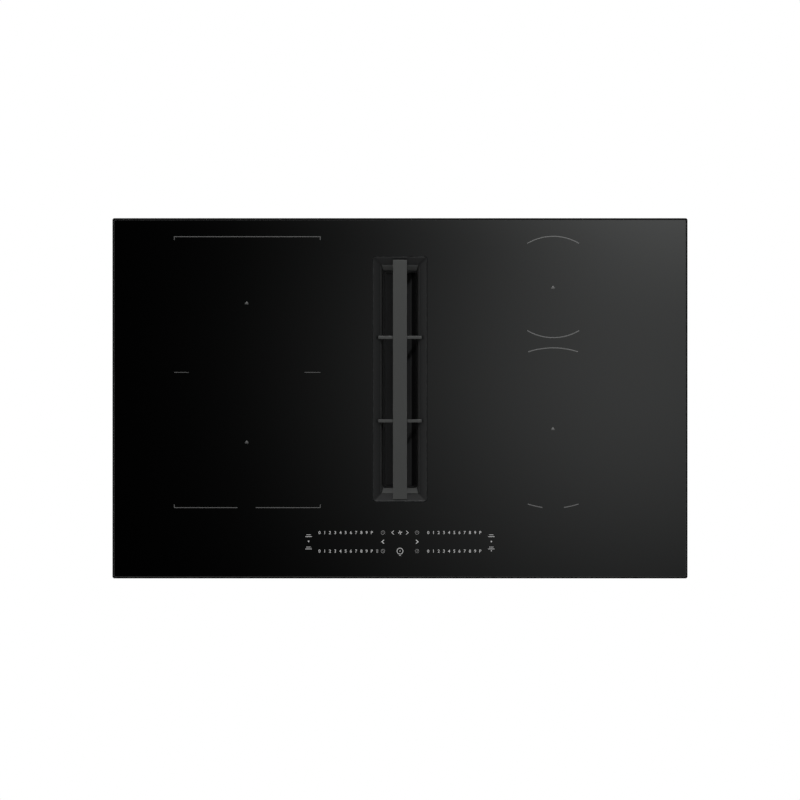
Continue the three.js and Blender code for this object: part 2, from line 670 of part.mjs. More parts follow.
addPiece('terminal_box', terminalBox(), MATERIAL.plastic);
addPiece('terminal_lid', terminalLid(), MATERIAL.plastic);
addPiece('terminal_block', terminalBlock(), MATERIAL.pale);
addPiece('cable_gland', cableGland(), MATERIAL.plastic);
addPiece(
  'lid_hinge_pin',
  barrelAlongX(HINGE.pin, TERMINAL.x - TERMINAL.width / 2, TERMINAL.x + TERMINAL.width / 2),
  MATERIAL.steel,
);

// ---- the fan box, its scroll and the blower ----

function fanBoxShell(z0, z1, closedBottom) {
  const { x, y, width, depth, corner, wall, flange, split } = FAN_BOX;
  const ring = (z, inset) => ringAt(z, width - 2 * inset, depth - 2 * inset, corner - inset / 2, x, y, 5);
  const lip = 4;
  if (closedBottom) {
    return loft([
      ring(z0, 5), ring(z0 + 5, 0), ring(split - lip, 0), ring(split - lip, -flange), ring(split, -flange),
      ring(split, wall), ring(z0 + wall, wall),
    ]);
  }
  return loft([
    ring(z1 - wall, wall), ring(split, wall), ring(split, -flange),
    ring(split + lip, -flange), ring(split + lip, 0), ring(z1 - 5, 0), ring(z1, 5),
  ]);
}

function fanBoxLower() {
  const back = FAN_BOX.y + FAN_BOX.depth / 2;
  const { x, z, width, height, wall } = OUTLET;
  const mouth = box(
    x - width / 2 + wall, x + width / 2 - wall, back - FAN_BOX.wall - 1, back + 1,
    z - height / 2 + wall, z + height / 2 - wall,
  );
  return cut(fanBoxShell(0, FAN_BOX.split, true), mouth);
}

function fanBoxUpper() {
  const shell = fanBoxShell(FAN_BOX.split, CASING.bottom, false);
  return cut(shell, intakeHole(CASING.bottom - 10, CASING.bottom + 1));
}

// The scroll's plan grows evenly round the impeller; grow widens it for the outside of the wall.
function scrollPlan(grow) {
  const points = [];
  const steps = 36;
  for (let i = 0; i <= steps; i += 1) {
    const share = i / steps;
    const radius = THREE.MathUtils.lerp(SCROLL.start, SCROLL.end, share) + grow;
    const angle = 2 * Math.PI * share;
    points.push(new THREE.Vector2(SCROLL.x + radius * Math.cos(angle), SCROLL.y + radius * Math.sin(angle)));
  }
  return points;
}

// The channel runs to the rear and flares to the width of the outlet.
function channelPlan(grow) {
  const right = SCROLL.x + SCROLL.end + grow;
  const back = FAN_BOX.y + FAN_BOX.depth / 2 - FAN_BOX.wall - GAP;
  const mouthLeft = OUTLET.x - OUTLET.width / 2 - grow;
  return [
    [SCROLL.tongue - grow, SCROLL.y], [right, SCROLL.y], [right, back], [mouthLeft, back],
    [mouthLeft, back - 8], [SCROLL.tongue - grow, SCROLL.flareY],
  ].map(([x, y]) => new THREE.Vector2(x, y));
}

function scrollOutside(z0, z1) {
  return join(prism(scrollPlan(SCROLL.wall), z0, z1), prism(channelPlan(SCROLL.wall), z0, z1));
}

function fanScroll() {
  const floor = FAN_BOX.wall;
  const z0 = floor + SCROLL.wall;
  const z1 = SCROLL.top + 1;
  const back = FAN_BOX.y + FAN_BOX.depth / 2 - FAN_BOX.wall;
  const mouth = box(
    OUTLET.x - OUTLET.width / 2, SCROLL.x + SCROLL.end, back - 12, back + 12, z0, z1,
  );
  return cut(
    scrollOutside(floor, SCROLL.top), prism(scrollPlan(0), z0, z1), prism(channelPlan(0), z0, z1), mouth,
  );
}

function scrollLid() {
  return cut(
    scrollOutside(SCROLL.top, SCROLL.top + SCROLL.wall),
    drum(IMPELLER.eye + 2 + GAP, SCROLL.top - 1, SCROLL.top + SCROLL.wall + 1, SCROLL.x, SCROLL.y, 32),
  );
}

// The rounded mouth that leads air into the impeller's eye.
function inletRing() {
  const { eye, bladeTop } = IMPELLER;
  const lid = SCROLL.top + SCROLL.wall;
  const profile = [
    [eye, bladeTop + 3], [eye + 2, bladeTop + 3], [eye + 2, lid], [eye + 14, lid], [eye + 14, lid + 2],
    [eye + 5, lid + 2], [eye + 1.2, lid], [eye, lid - 5],
  ].map(([r, z]) => new THREE.Vector2(r, z));
  profile.push(profile[0].clone());
  return new THREE.LatheGeometry(profile, 32).rotateX(Math.PI / 2).translate(SCROLL.x, SCROLL.y, 0);
}

function blowerMotor() {
  const { radius, top, shaft } = MOTOR;
  const floor = FAN_BOX.wall + SCROLL.wall;
  const body = join(
    drum(radius + 10, floor, floor + 4, SCROLL.x, SCROLL.y),
    drum(radius - 12, floor + 3, floor + 10, SCROLL.x, SCROLL.y),
    drum(radius, floor + 9, top, SCROLL.x, SCROLL.y),
  );
  return cut(body, drum(shaft + GAP, floor + 8, top + 1, SCROLL.x, SCROLL.y, 16));
}

// A drum rotor: a back plate on a hub, forward-curved blades and a ring that ties their tops.
function blowerImpeller() {
  const { radius, inner, blades, under, bladeTop } = IMPELLER;
  const parts = [
    drum(radius - 0.2, under, under + 2, 0, 0, 44),
    drum(14, under - 2, under + 14, 0, 0, 16),
    washer(radius, inner + 6, bladeTop - 2, bladeTop, 0, 0, 44),
  ];
  const plan = [[inner, 0], [inner + 8, 2.4], [radius - 1.5, 8], [radius - 2.6, 9], [inner + 7, 4.2],
    [inner - 0.6, 1.4]].map(([x, y]) => new THREE.Vector2(x, y));
  for (let i = 0; i < blades; i += 1) {
    parts.push(prism(plan, under + 1, bladeTop - 1).rotateZ((2 * Math.PI * i) / blades));
  }
  const bore = drum(MOTOR.shaft + GAP, under - 3, under + 15, 0, 0, 16);
  return cut(join(...parts), bore).translate(SCROLL.x, SCROLL.y, 0);
}

function ductSpigot() {
  const { x, z, width, height, wall, length, flange } = OUTLET;
  const y0 = FAN_BOX.y + FAN_BOX.depth / 2;
  const block = (dx, dz, from, to) => box(x - width / 2 - dx, x + width / 2 + dx, from, to,
    z - height / 2 - dz, z + height / 2 + dz);
  return cut(
    join(
      block(0, 0, y0, y0 + length),
      block(flange, 2.5, y0, y0 + 3),
      block(1.5, 1.5, y0 + length - 12, y0 + length - 9),
    ),
    block(-wall, -wall, y0 - 1, y0 + length + 1),
  );
}

addPiece('fan_box_lower', fanBoxLower(), MATERIAL.plastic);
addPiece('fan_box_upper', fanBoxUpper(), MATERIAL.plastic);
addPiece('fan_scroll', fanScroll(), MATERIAL.greyPlastic);
addPiece('scroll_lid', scrollLid(), MATERIAL.greyPlastic);
addPiece('inlet_ring', inletRing(), MATERIAL.plastic);
addPiece('blower_motor', blowerMotor(), MATERIAL.aluminium);
addPiece('blower_impeller', blowerImpeller(), MATERIAL.plastic);
addPiece(
  'motor_shaft',
  drum(MOTOR.shaft, MOTOR.top - 16, IMPELLER.under + 16, SCROLL.x, SCROLL.y, 16),
  MATERIAL.steel,
);
addPiece('duct_spigot', ductSpigot(), MATERIAL.plastic);

export default cooktop;
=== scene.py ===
"""Looks of a built-in induction cooktop with a downdraft intake in the middle of its glass.

+X is to the cook's right, +Y to the rear and +Z up. Shapes are built in mm, and the scene is in metres.
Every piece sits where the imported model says.
"""
import json
import math
import random

import bmesh
import bpy
from mathutils import Matrix, Vector

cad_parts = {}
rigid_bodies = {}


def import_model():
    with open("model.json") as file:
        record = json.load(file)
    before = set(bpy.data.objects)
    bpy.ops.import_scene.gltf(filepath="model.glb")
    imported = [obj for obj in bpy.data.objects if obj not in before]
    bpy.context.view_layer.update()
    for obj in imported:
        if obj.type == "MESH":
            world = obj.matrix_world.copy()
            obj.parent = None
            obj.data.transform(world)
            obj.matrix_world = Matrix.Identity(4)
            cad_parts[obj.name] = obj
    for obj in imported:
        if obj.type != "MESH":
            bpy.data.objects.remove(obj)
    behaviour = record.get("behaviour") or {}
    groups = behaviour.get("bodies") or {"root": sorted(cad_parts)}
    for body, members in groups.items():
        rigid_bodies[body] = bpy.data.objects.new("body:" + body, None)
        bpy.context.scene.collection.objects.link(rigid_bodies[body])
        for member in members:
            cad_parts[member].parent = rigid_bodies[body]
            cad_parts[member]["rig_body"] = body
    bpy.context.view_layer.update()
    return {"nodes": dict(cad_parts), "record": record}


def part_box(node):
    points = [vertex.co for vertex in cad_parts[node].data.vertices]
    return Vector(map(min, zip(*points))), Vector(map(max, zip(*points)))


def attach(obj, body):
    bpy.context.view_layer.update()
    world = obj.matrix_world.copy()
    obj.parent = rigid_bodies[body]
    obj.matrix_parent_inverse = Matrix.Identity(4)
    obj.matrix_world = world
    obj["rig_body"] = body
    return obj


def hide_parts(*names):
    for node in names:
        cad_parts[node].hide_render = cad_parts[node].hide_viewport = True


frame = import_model()

MM = 0.001
TURN = 2 * math.pi
SIDES = {-1: "left", 1: "right"}
SAME_PLACE = 1e-6  # in metres
FLAT = 0.4  # degrees between faces that are one
EDGE_MARK = "rounded_edge"  # on the faces of rounded edges, where wear shows
TURN_MARK = "turn"  # on points, how a copy is turned there


def span(node):
    """A node's lowest and highest corners: x0, x1, y0, y1, z0, z1."""
    low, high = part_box(node)
    return [value / MM for pair in zip(low, high) for value in pair]


# ---- node trees ----

def operators(operation):
    """An operator and its reflected form, each of which adds a Math node."""
    return (lambda wire, other: wire.math(operation, wire, other),
            lambda wire, other: wire.math(operation, other, wire))


class Wire:
    """An output socket in a node tree, to calculate with."""

    def __init__(self, net, socket):
        self.net, self.socket = net, socket

    def math(self, operation, *values):
        return self.net.node("ShaderNodeMath", dict(enumerate(values)), operation=operation)

    __add__, __radd__ = operators("ADD")
    __sub__, __rsub__ = operators("SUBTRACT")
    __mul__, __rmul__ = operators("MULTIPLY")
    __truediv__, __rtruediv__ = operators("DIVIDE")

    def fade(self):
        """1 at nought, falling off as a bell does where the wire is a square."""
        return self.math("EXPONENT", self * -1)

    def smooth(self, low, high):
        """0 below low, 1 above high, eased between them."""
        inputs = {"Value": self, "From Min": low, "From Max": high}
        return self.net.node("ShaderNodeMapRange", inputs, interpolation_type="SMOOTHSTEP")


class Net:
    """A node tree, filled one node at a time."""

    def __init__(self, tree):
        self.tree = tree

    def node(self, kind, inputs=None, out=0, **settings):
        """Adds a node, its settings first and then the values or links of its sockets."""
        made = self.tree.nodes.new(kind)
        for key, value in settings.items():
            setattr(made, key, value)
        for key, value in (inputs or {}).items():
            self.feed(made.inputs[key], value)
        return Wire(self, made.outputs[out]) if len(made.outputs) else None

    def feed(self, socket, value):
        if isinstance(value, Wire):
            self.tree.links.new(value.socket, socket)
        else:
            socket.default_value = value


FINISHES = {}


class Finish(Net):
    """A material. Numbers given at the start are the same all over the surface."""

    def __init__(self, name, **constants):
        material = FINISHES[name] = bpy.data.materials.new(name)
        material.use_nodes = True
        super().__init__(material.node_tree)
        self.inputs = self.tree.nodes["Principled BSDF"].inputs
        for key, value in constants.items():
            self.inputs[key.replace("_", " ")].default_value = value

    def texture(self, kind, scale, stretch=(1, 1, 1), out=0, **inputs):
        at = self.node("ShaderNodeTexCoord", out="Object")
        at = self.node("ShaderNodeMapping", {"Vector": at, "Scale": stretch})
        return self.node("ShaderNodeTex" + kind, {"Vector": at, "Scale": scale, **inputs}, out)

    def noise(self, scale, detail=2, rough=0.5, stretch=(1, 1, 1)):
        return self.texture("Noise", scale, stretch, Detail=detail, Roughness=rough)

    def rubbed(self, scale, low, high):
        """Patches where the rounded edges of a piece are rubbed, and 0 on its faces."""
        return self.noise(scale, 3).smooth(low, high) * self.node(
            "ShaderNodeAttribute", out="Fac", attribute_name=EDGE_MARK)

    def mix(self, share, *pair):
        pair = [value if isinstance(value, Wire) else (*value, 1) for value in pair]
        return self.node("ShaderNodeMix", {0: share, 6: pair[0], 7: pair[1]}, 2, data_type="RGBA")

    def cover(self, colour, rough, height, depth, strength=1.0):
        """Sets what varies over the surface. Its bumps are depth mm high."""
        bump = self.node("ShaderNodeBump", {"Height": height, "Distance": depth * MM, "Strength": strength})
        for socket, value in (("Base Color", colour), ("Roughness", rough), ("Normal", bump)):
            self.feed(self.inputs[socket], value)


# ---- finishes ----

def grained(name, dark, light, rough, grain=900, depth=0.03, wear=None, **constants):
    """A moulded or painted surface: cloudy colour, fine grain, and edges rubbed towards the wear colour."""
    finish = Finish(name, **constants)
    cloud, speck = finish.noise(14, 3), finish.noise(grain, 2, 0.7)
    colour = finish.mix(cloud * 0.7 + speck * 0.3, dark, light)
    rub = finish.rubbed(220, 0.42, 0.62)
    if wear:
        colour = finish.mix(rub, colour, wear)
    finish.cover(colour, rough + speck * 0.12 + cloud * 0.08 - rub * 0.12 - 0.1, speck, depth)


def moulded(name, dark, light, rough=0.5, wear=(0.09, 0.09, 0.092), **constants):
    grained(name, dark, light, rough, 1300, 0.05, wear, **constants)


def black_glass(name):
    """Opaque glass ceramic: a near mirror with a trace of wiping marks."""
    finish = Finish(name, IOR=1.5)
    haze = finish.noise(5, 4, 0.6, (1, 2.2, 1))
    colour = finish.mix(haze, [0.0003] * 3, [0.0006] * 3)
    finish.cover(colour, 0.022 + haze.smooth(0.45, 0.75) * 0.02, finish.noise(9), 0.01, 0.2)


def ground_glass(name, dark, light, rough):
    """A ground edge of the glass, fine and matt, or half polished."""
    finish = Finish(name)
    grit = finish.noise(2600, 2, 0.7)
    finish.cover(finish.mix(grit, dark, light), rough + grit * 0.4 * rough, grit, 0.02)


def enamel(name, shade, glow=0.0):
    """Print on glass, slightly uneven as a screen lays it. Where glow is given, the print glows with a
    painted glow of its own colour.
    """
    finish = Finish(name, Emission_Strength=glow, Coat_Weight=1.0, Coat_Roughness=0.03)
    screen = finish.noise(1700, 2, 0.6)
    colour = finish.mix(screen, [0.86 * part for part in shade], shade)
    if glow:
        finish.feed(finish.inputs["Emission Color"], colour)
    finish.cover(colour, 0.5 + screen * 0.2, screen, 0.01)


def satin_metal(name, dark, light, rough, run=(1, 0.02, 1), metallic=1.0):
    """Metal grained along one direction: run is small along the grain."""
    finish = Finish(name, Metallic=metallic)
    grain, cloud, fine = finish.noise(1500, 3, 0.6, run), finish.noise(9), finish.noise(3000)
    rub = finish.rubbed(260, 0.45, 0.6)
    colour = finish.mix(grain * 0.6 + cloud * 0.4, dark, light)
    colour = finish.mix(rub * 0.5, colour, [min(1, 1.7 * part) for part in light])
    finish.cover(colour, rough + grain * 0.14 + fine * 0.06 - rub * 0.1 - 0.1, grain + fine * 0.4, 0.012)


def galvanised(name):
    """Zinc-coated sheet with its spangle and a few drawn marks."""
    finish = Finish(name, Metallic=1.0)
    tone = finish.node("ShaderNodeSeparateColor", {"Color": finish.texture("Voronoi", 210, out="Color")})
    fleck = finish.noise(700, 3, 0.7)
    streak = finish.noise(160, 3, 0.6, (0.05, 1, 1)).smooth(0.6, 0.8)
    light = tone * 0.65 + fleck * 0.35
    colour = finish.mix(light, (0.38, 0.395, 0.41), (0.54, 0.555, 0.57))
    colour = finish.mix(finish.rubbed(200, 0.45, 0.6), colour, (0.62, 0.62, 0.63))
    finish.cover(colour, 0.3 + light * 0.22 + streak * 0.08, light, 0.02, 0.5)


def foam(name):
    """Closed-cell foam with small open pits on its skin."""
    finish = Finish(name)
    pit, cloud = finish.texture("Voronoi", 1300), finish.noise(60, 3)
    colour = finish.mix(pit * cloud * 2, (0.012, 0.012, 0.012), (0.04, 0.04, 0.041))
    finish.cover(colour, 0.8 + cloud * 0.18, pit, 0.3, 0.7)


black_glass("black_glass")
ground_glass("ground_glass", (0.028, 0.029, 0.03), (0.05, 0.051, 0.052), 0.5)
# The arris's lighter colour is a painted highlight along the glass's edge.
ground_glass("arris_glass", (0.1, 0.101, 0.102), (0.14, 0.141, 0.142), 0.08)
enamel("zone_print", (0.165, 0.165, 0.164))
enamel("arrow_print", (0.22, 0.22, 0.218))
enamel("clock_print", (0.47, 0.47, 0.467))
# The control print has a painted glow that brightens it.
enamel("control_print", (0.66, 0.66, 0.655), 0.16)
foam("foam_seal")
moulded("frame_plastic", (0.0095, 0.0099, 0.0101), (0.0142, 0.0148, 0.0151), 0.42, (0.034, 0.035, 0.035),
        IOR=1.38)
satin_metal("grille_metal", (0.0655, 0.068, 0.0665), (0.0935, 0.0952, 0.0925), 0.46, metallic=0.35)
# A lighter copy of the grille's metal: painted light on the end plates and on the funnel's lining.
satin_metal("plate_metal", (0.08, 0.083, 0.081), (0.114, 0.116, 0.113), 0.46, metallic=0.35)
satin_metal("stainless_steel", (0.4, 0.4, 0.41), (0.55, 0.55, 0.555), 0.3)
grained("filter_mesh", (0.036, 0.0364, 0.0368), (0.053, 0.0535, 0.054), 0.45, 1100, wear=[0.13] * 3)
# A darker copy of the filter's coating for its frame: painted shade, so the lit rim is no brighter than the
# mesh.
grained("filter_rim", (0.009, 0.0092, 0.0094), (0.014, 0.0143, 0.0146), 0.5, 1100, wear=[0.02] * 3,
        Specular_IOR_Level=0.3)
# A near-black finish: painted shade on the right slope's strip and on the right side of the filter's frame.
grained("filter_shade", (0.004, 0.004, 0.0041), (0.0065, 0.0065, 0.0066), 0.7, 1100, wear=[0.009] * 3,
        Specular_IOR_Level=0.12)
galvanised("galvanised_sheet")
satin_metal("screw_steel", (0.5, 0.49, 0.46), (0.66, 0.65, 0.62), 0.28, (1, 1, 1))
satin_metal("aluminium_sheet", (0.56, 0.56, 0.57), (0.7, 0.7, 0.71), 0.32)
satin_metal("copper_winding", (0.36, 0.13, 0.05), (0.62, 0.27, 0.12), 0.3, (1, 1, 1))
grained("ferrite", (0.02, 0.02, 0.022), (0.045, 0.045, 0.047), 0.75, 1800)
grained("circuit_board", (0.008, 0.05, 0.018), (0.02, 0.1, 0.035), 0.35, 500)
moulded("black_plastic", (0.009, 0.009, 0.01), (0.017, 0.017, 0.018))
moulded("fan_box_plastic", (0.013, 0.013, 0.014), (0.024, 0.024, 0.025), 0.52, (0.06, 0.06, 0.061))
moulded("grey_plastic", (0.075, 0.077, 0.08), (0.105, 0.107, 0.111), 0.45, (0.2, 0.2, 0.2))
moulded("pale_plastic", (0.6, 0.6, 0.56), (0.72, 0.72, 0.69), 0.4, (0.8, 0.8, 0.78))


# ---- mesh helpers ----

def link(obj):
    bpy.context.scene.collection.objects.link(obj)
    return obj


def new_object(name, bm, *finishes):
    """A mesh object from a bmesh, with its finishes as material slots."""
    bmesh.ops.recalc_face_normals(bm, faces=bm.faces)
    mesh = bpy.data.meshes.new(name)
    bm.to_mesh(mesh)
    bm.free()
    for finish in finishes:
        mesh.materials.append(FINISHES[finish])
    return link(bpy.data.objects.new(name, mesh))


def plain_mesh(obj):
    """A new mesh of the object, with its modifiers worked in."""
    graph = bpy.context.evaluated_depsgraph_get()
    graph.update()
    made = obj.evaluated_get(graph)
    return bpy.data.meshes.new_from_object(made, preserve_all_data_layers=True, depsgraph=graph)


def settle(obj):
    mesh = plain_mesh(obj)
    obj.modifiers.clear()
    obj.data = mesh
    return obj


def shade(obj):
    """Smooth shading that keeps wide faces flat."""
    obj.data.shade_smooth()
    obj.modifiers.new("weighted", "WEIGHTED_NORMAL").keep_sharp = True
    return settle(obj)


def hand_over(obj, slot, *nodes):
    """The slot is not used. The piece stands for a CAD node and moves with it, or else with the hob."""
    body = frame["nodes"][nodes[0]]["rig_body"] if nodes else "hob"
    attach(obj, body)
    if nodes:
        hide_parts(*nodes)
    return obj


def piece(name, bm, finish, *nodes, slot=None, others=()):
    return hand_over(shade(new_object(name, bm, finish, *others)), slot or finish, *nodes)


def edge_layer(bm):
    layers = bm.faces.layers.float
    return layers.get(EDGE_MARK) or layers.new(EDGE_MARK)


def round_edges(bm, width, sharp=28, segments=2, keep=None):
    """Rounds the edges sharper than an angle, and marks the new faces for wear."""
    mark = edge_layer(bm)
    limit = math.radians(sharp)
    edges = [e for e in bm.edges if len(e.link_faces) == 2 and abs(e.calc_face_angle_signed()) > limit]
    if keep:
        edges = [e for e in edges if keep((e.verts[0].co + e.verts[1].co) / 2, e)]
    made = bmesh.ops.bevel(bm, geom=edges, offset=width * MM, offset_type="OFFSET", segments=segments,
                           profile=0.5, affect="EDGES", clamp_overlap=False)
    for face in made["faces"]:
        face[mark] = 1.0


def dress(node, finish, width, sharp=28, segments=2, keep=None, shape=None, extra=None, **options):
    """Replaces a CAD node by a copy with rounded edges. shape changes it before, extra adds to it after."""
    bm = bmesh.new()
    bm.from_mesh(frame["nodes"][node].data)
    bmesh.ops.remove_doubles(bm, verts=bm.verts, dist=SAME_PLACE)
    bmesh.ops.dissolve_limit(bm, angle_limit=math.radians(FLAT), verts=bm.verts, edges=bm.edges)
    if shape:
        shape(bm)
    round_edges(bm, width, sharp, segments, keep)
    if extra:
        extra(bm)
    return piece(node + "_finished", bm, finish, node, **options)


# ---- shapes, in mm ----

def polar(radius, angle, centre=(0, 0)):
    return centre[0] + radius * math.cos(angle), centre[1] + radius * math.sin(angle)


def even(start, pitch, count):
    """Evenly spaced numbers."""
    return [start + pitch * i for i in range(count)]


def circle(count):
    """Even angles round a circle."""
    return [TURN * i / count for i in range(count)]


def rounded_ring(z, half_x, half_y, radius, centre=(0, 0), steps=6):
    """Points of a rounded rectangle, anticlockwise from above."""
    points = []
    for sx, sy, start in ((1, -1, -90), (1, 1, 0), (-1, 1, 90), (-1, -1, 180)):
        corner = (centre[0] + sx * (half_x - radius), centre[1] + sy * (half_y - radius))
        angles = (math.radians(start + 90 * i / steps) for i in range(steps + 1))
        points += [(*polar(radius, angle, corner), z) for angle in angles]
    return points


def grown_rings(half_x, half_y, radius, rows, centre=(0, 0), steps=6):
    """Rounded rectangles, each grown by an amount all round, at a height."""
    return [rounded_ring(z, half_x + grow, half_y + grow, radius + grow, centre, steps) for grow, z in rows]


def loft(bm, rings, closed=True, marks=None, worn=(), mark=0):
    """Faces through rings of equal point counts. mark is their material index, or marks that of a band."""
    edge = edge_layer(bm)
    loops = [[bm.verts.new([value * MM for value in point]) for point in ring] for ring in rings]
    bands = zip(loops, loops[1:] + loops[:1] if closed else loops[1:])
    for k, (low, high) in enumerate(bands):
        for i in range(len(low)):
            j = (i + 1) % len(low)
            face = bm.faces.new((low[i], low[j], high[j], high[i]))
            face.material_index = (marks or {}).get(k, mark)
            face[edge] = 1.0 if k in worn else 0.0
    if not closed:
        bm.faces.new(reversed(loops[0])).material_index = mark
        bm.faces.new(loops[-1]).material_index = mark
    return [vert for loop in loops for vert in loop]


def prism(bm, outline, z0, z1, mark=0):
    """A body over an outline in X and Y."""
    return loft(bm, [[(x, y, z) for x, y in outline] for z in (z0, z1)], False, mark=mark)


def block(bm, x0, x1, y0, y1, z0, z1, mark=0):
    return prism(bm, [(x0, y0), (x1, y0), (x1, y1), (x0, y1)], z0, z1, mark)


def turned(bm, profile, steps=24, centre=(0, 0), closed=False, mark=0):
    """A body turned round a vertical axis, from its radii and heights."""
    rings = [[(*polar(radius, angle, centre), z) for angle in circle(steps)] for radius, z in profile]
    return loft(bm, rings, closed, mark=mark)


def alone(build, *values, **options):
    """One shape in a bmesh of its own."""
    bm = bmesh.new()
    build(bm, *values, **options)
    return bm


def lay(verts, to=(0, 0, 0), turn=0, axis="Z"):
    """Turns points round the origin by degrees about an axis, then moves them."""
    matrix = Matrix.Rotation(math.radians(turn), 3, axis)
    for vert in verts:
        vert.co = matrix @ vert.co + Vector(to) * MM


# ---- node tools for what repeats or follows a path ----

def node_tool(name, sockets, build):
    """A Geometry Nodes tree with named inputs, whose result is made real and given its finish."""
    tree = bpy.data.node_groups.new(name, "GeometryNodeTree")
    tree.interface.new_socket("Geometry", in_out="OUTPUT", socket_type="NodeSocketGeometry")
    ids = {}
    for label, kind in {**sockets, "Finish": "Material"}.items():
        socket = tree.interface.new_socket(label, in_out="INPUT", socket_type="NodeSocket" + kind)
        ids[label] = socket.identifier
    net = Net(tree)
    source = tree.nodes.new("NodeGroupInput")
    given = {socket.name: Wire(net, socket) for socket in source.outputs if socket.name}
    real = net.node("GeometryNodeRealizeInstances", {"Geometry": build(net, given)})
    done = net.node("GeometryNodeSetMaterial", {"Geometry": real, "Material": given["Finish"]})
    net.node("NodeGroupOutput", {"Geometry": done})
    return tree, ids


def copies(net, given, points, turn=None):
    """The Copy on each point, with its turn."""
    copy = net.node("GeometryNodeObjectInfo", {"Object": given["Copy"]}, "Geometry")
    inputs = {"Points": points, "Instance": copy}
    if turn:
        inputs["Rotation"] = net.node("FunctionNodeEulerToRotation", {"Euler": turn})
    return net.node("GeometryNodeInstanceOnPoints", inputs)


def grid_build(net, given):
    columns, rows = given["Columns"], given["Rows"]
    return copies(net, given, net.node("GeometryNodeMeshGrid", {
        "Size X": (columns - 1) * given["Step X"], "Size Y": (rows - 1) * given["Step Y"],
        "Vertices X": columns, "Vertices Y": rows,
    }))


def ring_build(net, given):
    points = net.node("GeometryNodePoints", {"Count": given["Count"]})
    angle = net.node("GeometryNodeInputIndex") * TURN / given["Count"]
    return copies(net, given, points, net.node("ShaderNodeCombineXYZ", {"Z": angle}))


def spots_build(net, given):
    turn = net.node("GeometryNodeInputNamedAttribute", {"Name": TURN_MARK}, "Attribute",
                    data_type="FLOAT_VECTOR")
    return copies(net, given, given["Points"], turn)


def wound_build(net, given):
    path = net.node("GeometryNodeMeshToCurve", {"Mesh": given["Path"]})
    section = {"Resolution": given["Sides"], "Radius": given["Wire radius"]}
    section = net.node("GeometryNodeCurvePrimitiveCircle", section)
    return net.node("GeometryNodeCurveToMesh", {"Curve": path, "Profile Curve": section, "Fill Caps": True})


GRID = node_tool("grid_of_copies", {
    "Copy": "Object", "Columns": "Int", "Rows": "Int", "Step X": "Float", "Step Y": "Float"}, grid_build)
RING = node_tool("ring_of_copies", {"Copy": "Object", "Count": "Int"}, ring_build)
SPOTS = node_tool("copies_on_spots", {"Points": "Geometry", "Copy": "Object"}, spots_build)
WOUND = node_tool("wound_path", {"Path": "Geometry", "Wire radius": "Float", "Sides": "Int"}, wound_build)


def grown(name, tool, finish, values, mesh=None):
    """A plain mesh object made by a node tool. A Copy that it takes is used up."""
    tree, ids = tool
    obj = link(bpy.data.objects.new(name, mesh or bpy.data.meshes.new(name)))
    modifier = obj.modifiers.new("grown", "NODES")
    modifier.node_group = tree
    for key, value in {**values, "Finish": FINISHES[finish]}.items():
        modifier[ids[key]] = value
    settle(obj).data.name = name
    if "Copy" in values:
        bpy.data.objects.remove(values["Copy"])
    return obj


def on_spots(name, copy, finish, places):
    """Copies of a small body at places, each with its turn in degrees."""
    mesh = bpy.data.meshes.new(name)
    mesh.from_pydata([[value * MM for value in place[:3]] for place in places], [], [])
    turns = mesh.attributes.new(TURN_MARK, "FLOAT_VECTOR", "POINT")
    for item, place in zip(turns.data, places):
        item.vector = [math.radians(angle) for angle in place[3]]
    obj = grown(name, SPOTS, finish, {"Copy": new_object(name + "_copy", copy, finish)}, mesh)
    hand_over(shade(obj), finish)


UP, DOWN = (0, 0, 0), (180, 0, 0)


def facing(axis, way):
    """The turn that brings Z to an axis, or to its other end where way is -1."""
    return (0, 90 * way, 0) if axis == "x" else (-90 * way, 0, 0)


def screws(name, radius, rise, places):
    """Low domed heads with a round socket."""
    head = alone(turned, [
        (radius, -0.3), (radius, 0.4 * rise), (0.86 * radius, 0.78 * rise), (0.58 * radius, rise),
        (0.44 * radius, rise), (0.4 * radius, 0.4 * rise),
    ], 12)
    on_spots(name + "_screws", head, "screw_steel", places)


def round_axis(name, finish, copy, count):
    """A bmesh with copies of a body set evenly round the Z axis."""
    obj = grown(name, RING, finish, {"Copy": new_object(name + "_copy", copy, finish), "Count": count})
    bm = bmesh.new()
    bm.from_mesh(obj.data)
    bpy.data.objects.remove(obj)
    return bm


# ---- the glass and its prints ----

_, GLASS_X, _, GLASS_Y, GLASS_UNDER, TOP = span("glass_panel")
CORNER = 3  # the radius of the glass's corners
INTAKE = (0, 27.6)  # the middle of the intake
FLANGE_X, FLANGE_Y = 39, 176.5  # half the size of its frame at the glass
JOINT = 0.7  # the gap between glass and frame
PRINT_RISE, PRINT_DEEP = 0.05, 0.15  # the prints stand this far above the glass, and are this thick


def glass_panel():
    """The glass: ground edges all round, an arris on top whose lighter colour is a painted highlight, and a
    cut-out for the intake.
    """
    top = TOP - PRINT_RISE
    edge = (
        (GLASS_UNDER, 0.6), (GLASS_UNDER + 0.6, 0), (top - 1.5, 0), (top - 0.95, 0.2), (top - 0.88, 0.35),
        (top - 0.19, 1.8), (top - 0.12, 2.15), (top - 0.03, 2.45), (top, 3.1), (top, 3.15),
    )
    rings = [rounded_ring(z, GLASS_X - inset, GLASS_Y - inset, CORNER - min(inset, 1) / 2, steps=8)
             for z, inset in edge]
    hole = ((0.3, top), (0, top - 0.3), (0, GLASS_UNDER))
    rings += grown_rings(FLANGE_X + JOINT, FLANGE_Y + JOINT, 5 + JOINT, hole, INTAKE, 8)
    # Band 7, the arris, takes the painted highlight.
    bm = alone(loft, rings, marks={0: 1, 2: 1, 7: 2, 10: 1})
    others = ("ground_glass", "arris_glass")
    return piece("glass_panel_ground", bm, "black_glass", "glass_panel", others=others)


def slab(bm, outline):
    """A thin print: an outline in X and Y, from just inside the glass up to the top of its CAD node."""
    prism(bm, outline, TOP - PRINT_DEEP, TOP)


MITRE_LIMIT = 0.3  # keeps the corners of sharp turns short


